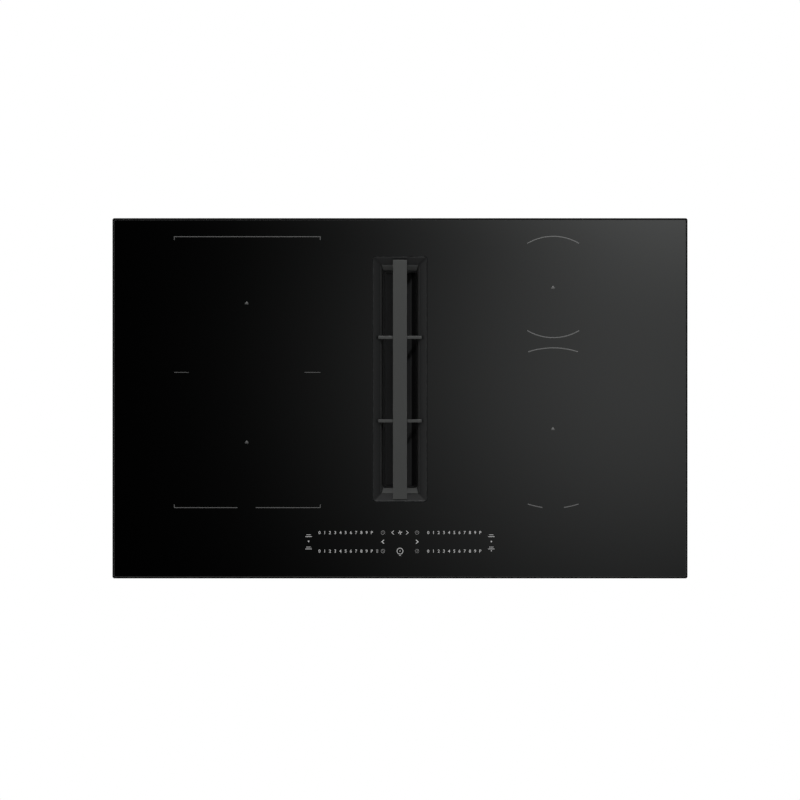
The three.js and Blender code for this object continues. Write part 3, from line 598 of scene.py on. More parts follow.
def line(bm, points, width):
    """A mitred line through points."""
    path = [Vector(p) for p in points]
    left, right = [], []
    for i, point in enumerate(path):
        ahead = path[min(i + 1, len(path) - 1)] - point
        behind = point - path[max(i - 1, 0)]
        ahead = ahead.normalized() if ahead.length else behind.normalized()
        behind = behind.normalized() if behind.length else ahead
        along = (ahead + behind).normalized()
        side = Vector((-along.y, along.x)) * (width / 2) / max(MITRE_LIMIT, along.dot(ahead))
        left.append(point + side)
        right.append(point - side)
    slab(bm, left + right[::-1])


def level(bm, x, y, half, width):
    """A level line, half as long as said each way."""
    line(bm, [(x - half, y), (x + half, y)], width)


def arc(bm, centre, radius, start, end, width, steps=24):
    """A line along an arc, angles in degrees."""
    angles = (math.radians(start + (end - start) * i / steps) for i in range(steps + 1))
    line(bm, [polar(radius, angle, centre) for angle in angles], width)


def ring(bm, centre, radius, width, steps=28):
    """A closed circle line."""
    inner, outer, low = radius - width / 2, radius + width / 2, TOP - PRINT_DEEP
    turned(bm, [(inner, low), (outer, low), (outer, TOP), (inner, TOP)], steps, centre, closed=True)


def disc(bm, centre, radius, steps=16):
    slab(bm, [polar(radius, angle, centre) for angle in circle(steps)])


def printed(name, bm, finish):
    """A print rides on the hob with its glass."""
    hand_over(new_object(name, bm, finish), "white_print")


BRACKET_LINE, ARC_LINE, THIN_LINE = 0.95, 1.3, 0.7


def zone_prints():
    """The marks of the four zones: brackets on the left and arcs on the right."""
    bm = bmesh.new()
    left, right, rear, front, tick = -325.6, -115, 233.1, -157.7, 4.6
    line(bm, [(left, rear - tick), (left, rear), (right, rear), (right, rear - tick)], BRACKET_LINE)
    for outer, inner in ((left, -234.4), (right, -208.1)):
        line(bm, [(outer, front + tick), (outer, front), (inner, front)], BRACKET_LINE)
    for x0, x1 in ((left, -304.7), (-137.6, right)):
        line(bm, [(x0, 37.4), (x1, 37.4)], THIN_LINE)
    for y, radius, start, end in (
        (160.6, 73.1, 59.3, 120.7), (160.6, 73.1, 239.3, 300.7),
        (-42.8, 115.6, 72, 108), (-42.8, 115.6, 251.5, 262.25), (-42.8, 115.6, 277.75, 288.5),
    ):
        arc(bm, (221, y), radius, start, end, ARC_LINE)
    printed("zone_prints", bm, "zone_print")


def zone_arrows():
    """A small filled triangle over a short base line in the middle of each zone."""
    bm = bmesh.new()
    for x, y in ((-221.1, 138.1), (-221.1, -62.5), (220.7, 160.8), (220.7, -43.2)):
        slab(bm, [(x - 2.2, y - 1), (x + 2.2, y - 1), (x, y + 1.9)])
        level(bm, x, y - 1.9, 2.4, THIN_LINE)
    printed("zone_arrows", bm, "arrow_print")


DIGIT_HEIGHT = 4.4
ROWS = UPPER, LOWER = (-193.7, -220.4)  # the rows of digits
MIDDLE_ROW = -206.9
HALF_THICK = 0.05  # of a letter as it is first made


def lettering(text):
    """A mesh of a word in plain letters as high as the digits, standing on the origin, centred across."""
    curve = bpy.data.curves.new("letters", "FONT")
    curve.body, curve.resolution_u, curve.offset, curve.extrude = text, 3, 0.01, HALF_THICK
    holder = link(bpy.data.objects.new("letters", curve))
    mesh = plain_mesh(holder)
    bpy.data.objects.remove(holder)
    xs, ys, _ = zip(*(v.co for v in mesh.vertices))
    size = DIGIT_HEIGHT * MM / (max(ys) - min(ys))
    flat = PRINT_DEEP * MM / (2 * HALF_THICK)
    for v in mesh.vertices:
        x, y, z = v.co
        v.co = ((x - (min(xs) + max(xs)) / 2) * size, (y - min(ys)) * size, (z - HALF_THICK) * flat)
    return mesh


def control_digits():
    """Four rows of power steps, 0 to 9 and P."""
    bm = bmesh.new()
    for step, sign in enumerate("0123456789P"):
        mesh = lettering(sign)
        for row in ROWS:
            for start, pitch in ((-116.1, 7.555), (40.8, 7.51)):
                copy = mesh.copy()
                at = [value * MM for value in (start + pitch * step, row - DIGIT_HEIGHT / 2, TOP)]
                copy.transform(Matrix.Translation(at))
                bm.from_mesh(copy)
                bpy.data.meshes.remove(copy)
    printed("control_digits", bm, "control_print")


def control_clocks():
    """The four timer signs and a sign of two small rings, printed fainter than the rest."""
    bm = bmesh.new()
    for x in (-24.6, 24.6):
        for y in ROWS:
            ring(bm, (x, y), 2.6, 0.45)
            line(bm, [(x, y + 1.6), (x, y), (x + 1.1, y - 0.7)], 0.4)
    for rise in (-1.25, 1.25):
        ring(bm, (-32.8, LOWER + rise), 1.05, 0.6, 12)
    printed("control_clocks", bm, "clock_print")


def chevron(bm, x, y, way, width):
    line(bm, [(x - way * 1.6, y + 2.7), (x + way * 1.6, y), (x - way * 1.6, y - 2.7)], width)


def fan_mark(bm, x, y):
    """Four lobes round a dot."""
    disc(bm, (x, y), 0.75, 12)
    for turn in range(4):
        along = Matrix.Rotation(math.radians(90 * turn + 14), 2)
        lobe = [Vector((1.95 + 1.1 * math.cos(a), 0.7 * math.sin(a))) for a in circle(12)]
        slab(bm, [Vector((x, y)) + along @ point for point in lobe])


def control_marks():
    """The signs between and beside the rows of digits."""
    bm = bmesh.new()
    fan_mark(bm, 0.2, UPPER)
    for way in SIDES:
        chevron(bm, way * 10.4, UPPER, way, 0.8)
        chevron(bm, way * 24.6, MIDDLE_ROW, way, 1.1)
    ring(bm, (0, LOWER), 4.3, 0.85, 36)
    disc(bm, (0, LOWER), 0.8, 12)
    arc(bm, (0, LOWER - 9.2), 3, 62, 118, 0.6, 8)
    side_x = 131.8
    for x in (-side_x, side_x):
        for y in (-198.2, -215.9):  # a short bar over a long one
            level(bm, x, y + 1.3, 3.1, 0.7)
            level(bm, x, y - 1.4, 4.6, 0.8)
    slab(bm, [(-side_x - 1.4, -205.4), (-side_x, -208), (-side_x + 1.4, -205.4)])
    disc(bm, (side_x, -206.7), 1.1)
    disc(bm, (side_x, -220), 0.8, 12)
    printed("control_marks", bm, "control_print")


# ---- the intake, its grille and its filter ----

# The frame's sections from its foot round by the flange, over the top and down the throat:
# half width, half depth, corner radius, height, and how far back the turn's rounding starts.
THROAT = (
    (26.6, 158.6, 7, 140, 0.5), (27.0, 159.0, 7, 191.6, 1.0), (29.85, 168.4, 7, 202.2, 0.5),
    (50, 187.5, 16, 202.2, 0.5), (50, 187.5, 16, 204.5, 0.5), (39, 176.5, 5, 204.5, 0.3),
    (39, 176.5, 5, 210, 0.45), (38.2, 175.7, 4.2, 210, 0.35), (27.45, 166, 2, 203, 0.5),
    (25.4, 157.4, 4, 194, 1.2), (25, 157, 5, 150, 0.6), (23, 155, 4, 150, 0.4), (23, 155, 4, 140, 0.4),
)
FUNNEL_ROW = 8  # the funnel runs from this section to the next, and has a lining of lighter metal: a painted highlight on the frame's inner edge and painted light down the funnel
HIGHLIGHT_LINING_END = 160  # past this it has its end plates instead of the lining; both are of the lighter metal that paints light
ROUND_STEPS = 3  # the bands of a rounded turn


def softened(rings, cuts):
    """Rounds each turn of a closed loft. cuts gives how far back each turn starts."""
    result = []
    for before, here, after, cut in zip(rings[-1:] + rings, rings, rings[1:] + rings[:1], cuts):
        for t in (step / ROUND_STEPS for step in range(ROUND_STEPS + 1)):
            result.append([])
            for a, b, c in zip(before, here, after):
                a, b, c = Vector(a), Vector(b), Vector(c)
                start, end = (b + way.normalized() * min(cut, way.length * 0.49) for way in (a - b, c - b))
                result[-1].append(start * (1 - t) ** 2 + b * 2 * t * (1 - t) + end * t ** 2)
    return result


def intake_frame():
    """The moulded frame: a sloped collar, a short funnel lined in a lighter metal as a painted highlight,
    and the throat round the filter.
    """
    sections = [rounded_ring(z, x, y, radius, INTAKE, 8) for x, y, radius, z, _ in THROAT]
    rings = softened(sections, [row[4] for row in THROAT])
    funnel = FUNNEL_ROW * (ROUND_STEPS + 1) + ROUND_STEPS
    # The lining's lighter metal paints the highlight on the inner edge and the light on the funnel.
    highlight_lining = range(funnel - ROUND_STEPS, funnel + ROUND_STEPS + 1)
    soft = [k for k in range(len(rings)) if k % (ROUND_STEPS + 1) < ROUND_STEPS]
    bm = alone(loft, rings, marks=dict.fromkeys(highlight_lining, 1), worn=soft)
    for face in bm.faces:
        if abs(face.calc_center_median().y / MM - INTAKE[1]) > HIGHLIGHT_LINING_END:
            face.material_index = 0
    piece("intake_frame_finished", bm, "frame_plastic", "intake_frame", others=("plate_metal",))


def end_plate(name, way):
    """A thin plate on the funnel's slope at one end, in the lighter metal that paints light on that end
    wall. way is 1 at the rear.
    """
    rings = []
    for lift in (0.1, 0.6):
        dy, dz = -0.72 * lift, 0.69 * lift  # along the slope's normal, which leans inwards and up
        rings.append([(x, INTAKE[1] + way * (y + dy), z + dz) for x, y, z in (
            (-26.2, 165.2, 202.7), (26.2, 165.2, 202.7), (24.6, 158.2, 195.4), (-24.6, 158.2, 195.4))])
    bm = alone(loft, rings, False)
    bmesh.ops.recalc_face_normals(bm, faces=bm.faces)
    round_edges(bm, 0.1)
    piece("intake_end_plate_" + name, bm, "plate_metal", slot="grille_metal")


MESH_ALONG, MESH_ACROSS = 3, 2  # the size of a lozenge of the mesh
STRAND, STRAND_THICK = 0.42, 0.5


def mesh_link():
    """One lozenge of expanded metal, of which the mesh's copies are made."""
    rings = []
    for grow, z in ((-0.5, -0.5), (0.5, -0.5), (0.5, 0.5), (-0.5, 0.5)):
        wide, long = MESH_ACROSS / 2 + grow * STRAND, MESH_ALONG / 2 + grow * STRAND * 1.5
        rings.append([(x, y, z * STRAND_THICK) for x, y in ((wide, 0), (0, long), (-wide, 0), (0, -long))])
    return new_object("mesh_link", alone(loft, rings), "filter_mesh")


# One slope of the filter's V, in X and Z: from its foot near the middle to its top at the frame's wall.
SLOPE_FOOT, SLOPE_TOP = Vector((4.2, 156)), Vector((22, 188))
SLOPE_HALF = 154.6
LAYER_GAP = 0.6  # between the two layers of mesh, which lie half a step apart
MESH_SHARE = 0.72  # the right slope's mesh ends here, and a closed strip painted dark as shade goes on to the top
STRIP_THICK = 0.9
HEM = 1.9  # of plain sheet at each slope's foot, down to the frame's keel
BORDER_WIDE, BORDER_THICK = 2.2, 0.9


def filter_slope(side):
    """One slope of the filter: expanded metal in a folded border."""
    top = SLOPE_TOP if side < 0 else SLOPE_FOOT.lerp(SLOPE_TOP, MESH_SHARE)
    run = top - SLOPE_FOOT
    edge = run.length / 2
    obj = grown("filter_mesh_" + SIDES[side], GRID, "filter_mesh", {
        "Copy": mesh_link(), "Step X": MESH_ACROSS * MM, "Step Y": MESH_ALONG * MM,
        "Columns": int(2 * edge / MESH_ACROSS) - 1, "Rows": int(2 * SLOPE_HALF / MESH_ALONG) - 1,
    })
    bm = bmesh.new()
    bm.from_mesh(obj.data)
    lay(bm.verts, (MESH_ACROSS / 2, MESH_ALONG / 2, -LAYER_GAP))
    bm.from_mesh(obj.data)
    border = ((0, -0.5), (0, 0.5), (BORDER_WIDE, 0.5), (BORDER_WIDE, -0.5))
    loft(bm, [rounded_ring(z * BORDER_THICK, edge - inset, SLOPE_HALF - inset, 0.4, steps=2)
              for inset, z in border])
    strip = (-SLOPE_HALF, SLOPE_HALF, -0.8 * STRIP_THICK, 0.2 * STRIP_THICK)
    block(bm, -edge - HEM, 0.1 - edge, *strip)
    # The strip up to the top is painted dark: painted shade beside the frame's right wall.
    if side > 0:
        obj.data.materials.append(FINISHES["filter_shade"])
        block(bm, edge - 0.1, edge + (SLOPE_TOP - top).length, *strip, 1)
    # The slope's own X runs up the slope, and its Z leans towards the middle.
    up = Vector((side * run.x, 0, run.y)).normalized()
    out = Vector((-side * run.y, 0, run.x)).normalized()
    middle = Vector((side * (SLOPE_FOOT.x + top.x) / 2, INTAKE[1], (SLOPE_FOOT.y + top.y) / 2)) * MM
    for vert in bm.verts:
        vert.co = middle + up * vert.co.x + Vector((0, vert.co.y, 0)) + out * vert.co.z
    bmesh.ops.recalc_face_normals(bm, faces=bm.faces)
    bm.to_mesh(obj.data)
    bm.free()
    return hand_over(obj, "filter_mesh", "filter_panel_" + SIDES[side])


def paint_shade_right(bm):
    """Marks off the right side of the filter's frame, which takes the painted shade of the strip beside it.
    """
    edge = (SLOPE_TOP.x + 0.9) * MM
    parts = [*bm.verts, *bm.edges, *bm.faces]
    bmesh.ops.bisect_plane(bm, geom=parts, dist=1e-7, plane_co=(edge, 0, 0), plane_no=(1, 0, 0))
    for face in bm.faces:
        if face.calc_center_median().x > edge:
            face.material_index = 1


def grille_and_filter():
    """The lift-out grille and the filter's cassette, whose rim and left slope take part in the lighting."""
    dress("grille_bar", "grille_metal", 0.5, segments=3)
    for end in ("rear", "front"):
        dress("grille_rib_" + end, "grille_metal", 0.45)
        dress("grille_foot_" + end, "frame_plastic", 0.4)
    rim = dress("filter_frame", "filter_rim", 0.25, shape=paint_shade_right, others=("filter_shade",),
                slot="filter_mesh")
    slopes = [filter_slope(side) for side in SIDES]
    dress("filter_handle", "black_plastic", 0.8)
    dress("drip_tray", "grey_plastic", 0.5)
    return slopes[0], rim


# ---- the casing, its clamps and its seals ----

_, CASING_X, _, CASING_Y, CASING_UNDER, _ = span("casing_tray")
POCKET_X, POCKET_Y = 345, (112, 188)  # the inner wall and the ends of the clamps' pockets
# The pressed ribs, each from x to x and from y to y.
BEADS = ((-352, -344, -100, 96), (-128, -120, -150, 210), (-330, -150, -172, -164), (-330, 330, -222, -214))
BEAD_DROP = 1.1
SIDE_SLOTS, REAR_SLOTS = range(-75, 76, 30), range(-286, 287, 52)
SIDE_SLOT_Z, REAR_SLOT_Z, SCREW_Z = 173, 177, 199
FLOOR_SCREWS = (
    (-308, 5), (-134, 5), (-308, 130), (-134, 120), (-262, -122), (-180, -122), (-262, -38), (-180, -38),
)


def slot_lips(name, half_x, half_y, places):
    """Raised lips round the cooling slots."""
    rings = grown_rings(half_x, half_y, 1, ((1.6, -0.2), (1.12, 0.8), (0.1, 0.8), (0, -0.2)), steps=3)
    on_spots(f"casing_{name}_slot_lips", alone(loft, rings), "galvanised_sheet", places)


def bead(bm, x0, x1, y0, y1):
    """A long pressed rib with sloped sides under the casing."""
    half_x, half_y, z = (x1 - x0) / 2, (y1 - y0) / 2, CASING_UNDER
    rows = ((0, z + 0.3 * BEAD_DROP), (0, z), (-1.2, z - 0.8 * BEAD_DROP), (-2.2, z - BEAD_DROP))
    loft(bm, grown_rings(half_x, half_y, min(half_x, half_y), rows, (x0 + half_x, y0 + half_y), 4), False)


def casing():
    """The folded sheet casing, with pressed ribs under it."""
    corners = [(CASING_X, CASING_Y)] + [(x, y) for x in (CASING_X, POCKET_X) for y in POCKET_Y]

    def bend(at, edge):
        """Upright folds, and the fold round the underside."""
        run = edge.verts[0].co - edge.verts[1].co
        x, y, z = abs(at.x) / MM, abs(at.y) / MM, at.z / MM
        upright = abs(run.z) > 10 * MM and any(abs(x - cx) + abs(y - cy) < 0.1 for cx, cy in corners)
        low = abs(z - CASING_UNDER) < 0.01 and abs(run.z) < 1e-6
        return upright or low and (abs(x - CASING_X) < 0.05 or abs(y - CASING_Y) < 0.05)

    def ribs(bm):
        for row in BEADS:
            bead(bm, *row)
        for x in (-300, -270, -180, -150):
            bead(bm, x - 3.5, x + 3.5, -20, 110)

    dress("casing_tray", "galvanised_sheet", 1.2, 60, 3, bend, extra=ribs)

    def sides(ys, z):
        return [(way * CASING_X, y, z, facing("x", way)) for y in ys for way in SIDES]

    slot_lips("side", 15, 2.5, sides(SIDE_SLOTS, SIDE_SLOT_Z))
    slot_lips("rear", 18, 3, [(x, CASING_Y, REAR_SLOT_Z, facing("y", 1)) for x in REAR_SLOTS])
    ends = [(x, way * CASING_Y, SCREW_Z, facing("y", way)) for x in range(-350, 351, 100) for way in SIDES]
    under = [(x, y, CASING_UNDER, DOWN) for x, y in FLOOR_SCREWS]
    screws("casing", 3.2, 1.7, sides((-225, -96, 0, 90, 225), SCREW_Z) + ends + under)


THREAD_PITCH = 1.1


def clamp_screw(node):
    """A threaded shank with a hexagon head and a cross slot."""
    x0, x1, y0, y1, z0, z1 = span(node)
    centre = ((x0 + x1) / 2, (y0 + y1) / 2)
    head = z0 + 4.5
    z = head + 3.5
    profile = [(2.6, head - 1), (2.6, z)]
    while z < z1 - 2 * THREAD_PITCH:
        profile += [(3.0, z + 0.35), (3.0, z + 0.5), (2.5, z + 0.95), (2.5, z + THREAD_PITCH)]
        z += THREAD_PITCH
    profile += [(2.5, z1 - 1), (1.9, z1)]
    bm = alone(turned, profile, 14, centre)
    turned(bm, [(4.2, z0), (5.3, z0 + 0.5), (5.95, z0 + 1.4), (5.95, head - 0.3), (5.6, head)], 6, centre)
    turned(bm, [(6.6, head - 0.9), (6.8, head - 0.5), (6.6, head - 0.05)], 20, centre)
    piece(node + "_threaded", bm, "screw_steel", node)


def clamps_and_seals():
    """The swing-out clamps on their long screws, and the foam."""
    for side in SIDES.values():
        for end in ("front", "rear"):
            dress(f"clamp_{side}_{end}", "stainless_steel", 0.45, 40)
            clamp_screw(f"clamp_screw_{side}_{end}")
    for node in ("glass_seal", "intake_gasket", "shaft_gasket"):
        dress(node, "foam_seal", 0.7)


# ---- the extraction unit ----

BOX_X0, BOX_X1, BOX_Y0, BOX_Y1, BOX_Z0, SPLIT = span("fan_box_lower")
FLANGE, LIP = 8, 4  # the flange's width, and its thickness on each shell
WALLS = BOX_X0 + FLANGE, BOX_X1 - FLANGE, BOX_Y0 + FLANGE, BOX_Y1 - FLANGE
SPIGOT = span("duct_spigot")
SPIGOT_CLEAR = 6  # no screw or web of the flange stands nearer the spigot
SPIGOT_RIM, SPIGOT_WALL = 8, 2.5  # its flange's width, and the thickness of its walls
RECESS = 1.2  # of the underside, between its lattice of ribs
LATTICE_INSET = 13
FAN_CENTRE = (175, -10)


def band_round(bm, z0, z1, proud):
    """A raised band round the fan box's walls."""
    x0, x1, y0, y1 = WALLS
    rows = ((-0.5, z0), (proud, z0 + 0.6), (proud, z1 - 0.6), (-0.5, z1))
    loft(bm, grown_rings((x1 - x0) / 2, (y1 - y0) / 2, 14, rows, ((x0 + x1) / 2, (y0 + y1) / 2)))


def gusset(up):
    """A stiffening web under (-1) or over (1) the flange, for a wall that faces +X."""
    bm = bmesh.new()
    points = prism(bm, [(-0.6, 0), (6.6, 0), (6.6, 1.6), (1.2, 15), (-0.6, 17)], -1, 1)
    lay(points, turn=90, axis="X")
    for vert in points:
        vert.co.z *= up
    round_edges(bm, 0.35, segments=1)
    return bm


def round_walls(grow, pitch, inset):
    """Even places round the walls, clear of the corners and the spigot, with their side's axis and way."""
    x0, x1, y0, y1 = (wall + way * grow for wall, way in zip(WALLS, (-1, 1, -1, 1)))
    places = []
    for low, high, at, axis, way in (
        (x0, x1, y0, "y", -1), (x0, x1, y1, "y", 1), (y0, y1, x0, "x", -1), (y0, y1, x1, "x", 1),
    ):
        run = high - low - 2 * inset
        count = max(1, round(run / pitch))
        for t in (low + inset + run * i / count for i in range(count + 1)):
            if axis == "x":
                places.append((at, t, axis, way))
            elif way < 0 or not SPIGOT[0] - SPIGOT_CLEAR < t < SPIGOT[1] + SPIGOT_CLEAR:
                places.append((t, at, axis, way))
    return places


def fan_box():
    """The two shells: webs, bands and screws along their flange, and a ribbed underside."""
    def underside(bm):
        under = [f for f in bm.faces if f.normal.z < -0.99]
        lowest = [f for f in under if abs(f.calc_center_median().z / MM - BOX_Z0) < 0.05]
        widest = max(lowest, key=lambda f: f.calc_area())
        bmesh.ops.inset_region(bm, faces=[widest], thickness=9 * MM, depth=-RECESS * MM)

    def lattice(bm):
        low, top = BOX_Z0 + 0.02, RECESS + 0.3
        x0, x1, y0, y1 = (wall + way * LATTICE_INSET for wall, way in zip(WALLS, (1, -1, 1, -1)))
        rows = [y0 + (y1 - y0) * i / 7 for i in range(1, 7)]
        for y in rows:
            block(bm, x0, x1, y - 1, y + 1, low, top)
        for x in (x0 + (x1 - x0) * i / 8 for i in range(1, 8)):
            for near, far in zip([y0] + rows, rows + [y1]):
                block(bm, x - 1, x + 1, near + 1.02, far - 1.02, low, top)
        turned(bm, [(60, low), (60, top), (57.6, top), (57.6, low)], 48, FAN_CENTRE, closed=True)
        band_round(bm, 40, 46, 1.2)

    dress("fan_box_lower", "fan_box_plastic", 0.9, 32, shape=underside, extra=lattice)
    dress("fan_box_upper", "fan_box_plastic", 0.9, 32, extra=lambda bm: band_round(bm, 128, 132, 1))
    bolts = round_walls(FLANGE / 2, 62, 22)
    screws("fan_box_flange", 3.1, 1.6, [(x, y, SPLIT - LIP, DOWN) for x, y, *_ in bolts])
    boss = alone(turned, [(3.7, -0.3), (3.6, 2.6), (3.2, 3), (1.7, 3), (1.6, 1)], 14)
    tops = [(x, y, SPLIT + LIP, UP) for x, y, *_ in bolts]
    on_spots("fan_box_flange_bosses", boss, "fan_box_plastic", tops)
    for name, way in (("lower", -1), ("upper", 1)):
        webs = [(x, y, SPLIT + way * LIP, (0, 0, 90 * (axis == "y") + 90 * (1 - side)))
                for x, y, axis, side in round_walls(0, 31, 30)]
        on_spots(f"fan_box_{name}_webs", gusset(way), "fan_box_plastic", webs)


def duct_spigot():
    """The flat outlet, with guide webs in its mouth and catches round it."""
    x0, x1, y0, y1, z0, z1 = SPIGOT
    left, right = x0 + SPIGOT_RIM + SPIGOT_WALL, x1 - SPIGOT_RIM - SPIGOT_WALL
    low, high = z0 + 2 * SPIGOT_WALL, z1 - 2 * SPIGOT_WALL

    def webs(bm):
        web = [(y0 + 1, -1), (y0 + 4, -1.1), (y1 - 6, -1.1), (y1 - 4, 0), (y1 - 6, 1.1), (y0 + 4, 1.1),
               (y0 + 1, 1)]
        for share in (1 / 3, 2 / 3):
            x = (left + (right - left) * share) * MM
            for vert in prism(bm, web, low - 0.4, high + 0.4):
                vert.co = Vector((x - vert.co.y, vert.co.x, vert.co.z))
        catch = [(y1 - 8, -0.4), (y1 - 2.5, -0.4), (y1 - 7.4, 1.3), (y1 - 8, 1.3)]
        for x in range(int(x0) + 30, int(x1) - 20, 38):
            for z, way in ((z1 - SPIGOT_WALL, 1), (z0 + SPIGOT_WALL, -1)):
                for vert in prism(bm, catch, -5, 5):
                    vert.co = Vector((x * MM + vert.co.z, vert.co.x, z * MM + way * vert.co.y))

    dress("duct_spigot", "fan_box_plastic", 0.7, 32, extra=webs)
    screws("duct_spigot", 2.6, 1.4, [(x, y0 + 3, z, facing("y", 1)) for x in (x0 + 4, x1 - 4)
                                     for z in (z0 + 12, (z0 + z1) / 2, z1 - 12)])


def blower():
    """The scroll, the motor and the drum rotor."""
    for node in ("fan_scroll", "scroll_lid"):
        dress(node, "grey_plastic", 0.6, 40)
    lid_top = span("scroll_lid")[5]
    # The scroll's radius grows from 88 by 58 over a turn, and its screws stand 4 inside it.
    shares = [(i + 0.5) / 9 for i in range(9)]
    screws("scroll_lid", 2.8, 1.5, [
        (*polar(88 + 58 * share - 4, TURN * share, FAN_CENTRE), lid_top, UP) for share in shares])

    bm = alone(turned, [
        (63, 95), (64.4, 94.8), (65, 95.6), (65, 102.5), (77, 102.5), (77.4, 103.2), (76.6, 104.5),
        (71, 104.5), (68, 103.9), (65.6, 102.4), (64, 100), (63.2, 97.4),
    ], 64, FAN_CENTRE, closed=True)
    piece("inlet_ring_mouth", bm, "black_plastic", "inlet_ring")

    profile = [(55, 5.5), (56, 6.2), (56, 8.8), (55, 9.5), (34, 9.5), (34, 13.5), (45, 14.5)]
    for z in range(16, 41, 3):
        profile += [(46, z), (46, z + 1.6), (44.6, z + 2), (44.6, z + 2.6)]
    profile += [(46, 43.6), (45.4, 44.8), (43.6, 45.6), (20, 46), (12, 46), (11, 46), (5.2, 46), (4.6, 45.4),
                (4.6, 29.5)]
    bm = alone(turned, profile, 48, FAN_CENTRE)
    for angle in circle(6):
        turned(bm, [(4.4, 9.2), (4.2, 10.8), (3.2, 11.6), (1.6, 11.6), (1.4, 10)], 12,
               polar(50, angle + TURN / 12, FAN_CENTRE))
    piece("blower_motor_can", bm, "aluminium_sheet", "blower_motor")

    bm = alone(turned, [(3.4, 30), (4, 30.6), (4, 65.2), (3.3, 66)], 24, FAN_CENTRE)
    piece("motor_shaft_turned", bm, "screw_steel", "motor_shaft")

    outer, inner = [], []
    for share in (i / 6 for i in range(7)):
        lead = math.radians(1.5 + 7.5 * share ** 1.7)
        thick = 0.35 + 0.25 * math.sin(math.pi * share)
        x, y = polar(66 + 14.6 * share, lead)
        outer.append((x - thick * math.sin(lead), y + thick))
        inner.append((x + thick * math.sin(lead), y - thick))
    bm = round_axis("blower_wheel", "black_plastic", alone(prism, inner + outer[::-1], 51.4, 91), 36)
    turned(bm, [
        (4.35, 48), (13, 48), (14, 49), (14.5, 50), (81.2, 50), (81.9, 50.8), (81.9, 53), (80.8, 53.6),
        (80.6, 52.2), (60, 52), (24, 54), (16, 60), (13.4, 63.4), (12, 64), (4.35, 64),
    ], 72, closed=True)
    shroud = [(80.4, 89.6), (82, 90), (82, 91.6), (81.4, 92), (73, 92), (72.4, 91.4), (73, 90)]
    turned(bm, shroud, 72, closed=True)
    for i in range(8):
        lay(block(bm, 13, 56, -0.8, 0.8, 51.6, 55.4), turn=45 * i)
    lay(bm.verts, (*FAN_CENTRE, 0))
    piece("blower_wheel", bm, "black_plastic", "blower_impeller")


# ---- the mains terminal box ----

def terminal():
    """The terminal box with its lid, block and cable gland."""
    x0, x1, y0, _, z0, z1 = span("terminal_box")
    mid = (x0 + x1) / 2

    def box_ribs(bm):
        heights = (z0 + 4, z1 - 1.5)
        for x in (x0 + 14, mid - 15, mid + 15, x1 - 14):
            block(bm, x - 0.9, x + 0.9, y0 - 1.2, y0 + 0.3, *heights)
        for y in (y0 + 16, y0 + 54):
            block(bm, x1 - 0.3, x1 + 1.2, y - 0.9, y + 0.9, *heights)

    def lid_ribs(bm):
        _, _, front, _, low, high = span("terminal_lid")
        face = front + 2
        for x in even(mid - 28, 14, 5):
            block(bm, x - 0.8, x + 0.8, face - 0.3, face + 0.7, low + 8, high - 14)
        for x in even(mid - 10, 4, 6):
            block(bm, x - 0.6, x + 0.6, face + 2.2, face + 3.1, low + 0.4, low + 2.6)

    dress("terminal_box", "black_plastic", 0.6, 32, extra=box_ribs)
    dress("terminal_lid", "black_plastic", 0.45, 32, extra=lid_ribs)
    dress("lid_hinge_pin", "screw_steel", 0.25, 40)
    dress("terminal_block", "pale_plastic", 0.5, 32)
    _, _, front, rear, _, top = span("terminal_block")
    screws("terminal_block", 3, 1.2, [
        (x, (front + rear) / 2 + dy, top, UP) for x in even(mid - 24, 12, 5) for dy in (-6.5, 6.5)])

    _, _, y0, y1, z0, z1 = span("cable_gland")
    fluted = [polar(9.95 if i % 4 in (2, 3) else 10.5, angle) for i, angle in enumerate(circle(72))]
    bm = alone(prism, fluted, 7.2, 16.4)
    turned(bm, [(10, 16.2), (9.2, 17.4), (7.6, 18), (6.6, 18), (6.2, 17.2), (6.2, 15)], 36)
    turned(bm, [(7.7, -3.9), (7.7, 0.4), (7.4, 0.6), (7.4, -3.9)], 24, closed=True)
    turned(bm, [(11.2, 0.1), (12, 0.9), (12, 6.6), (11.2, 7.4)], 6)
    # The gland is built upright, and lies with its mouth to the left, in the wall of the box.
    foot = Vector((x0, (y0 + y1) / 2, (z0 + z1) / 2)) * MM
    for vert in bm.verts:
        vert.co = foot + Vector((-vert.co.z, vert.co.x, vert.co.y))
    piece("cable_gland_nut", bm, "black_plastic", "cable_gland")


# ---- the coils and the electronics, under the glass ----

WIRE = 2.3  # the radius of the winding's wire
WIRE_PITCH = 2.1 * WIRE


def spiral_round(centre, inner, outer, z):
    """Points of a flat round spiral."""
    step = (outer - inner) / int((outer - inner) / WIRE_PITCH)
    count = round((outer - inner) / step) * 48 + 1
    return [(*polar(inner + step * (i / 48), TURN * i / 48, centre), z) for i in range(count)]


def spiral_square(centre, inner, outer, z):
    """Points of a flat spiral of rounded squares, each given by half width, half depth and corner."""
    turns = int((outer[0] - inner[0]) / WIRE_PITCH)
    ring_count = len(rounded_ring(z, *inner, steps=8))
    points = []
    for i in range(turns * ring_count + 1):
        share = i / (turns * ring_count)
        sizes = [low + (high - low) * share for low, high in zip(inner, outer)]
        points.append(rounded_ring(z, *sizes, centre, 8)[i % ring_count])
    return points


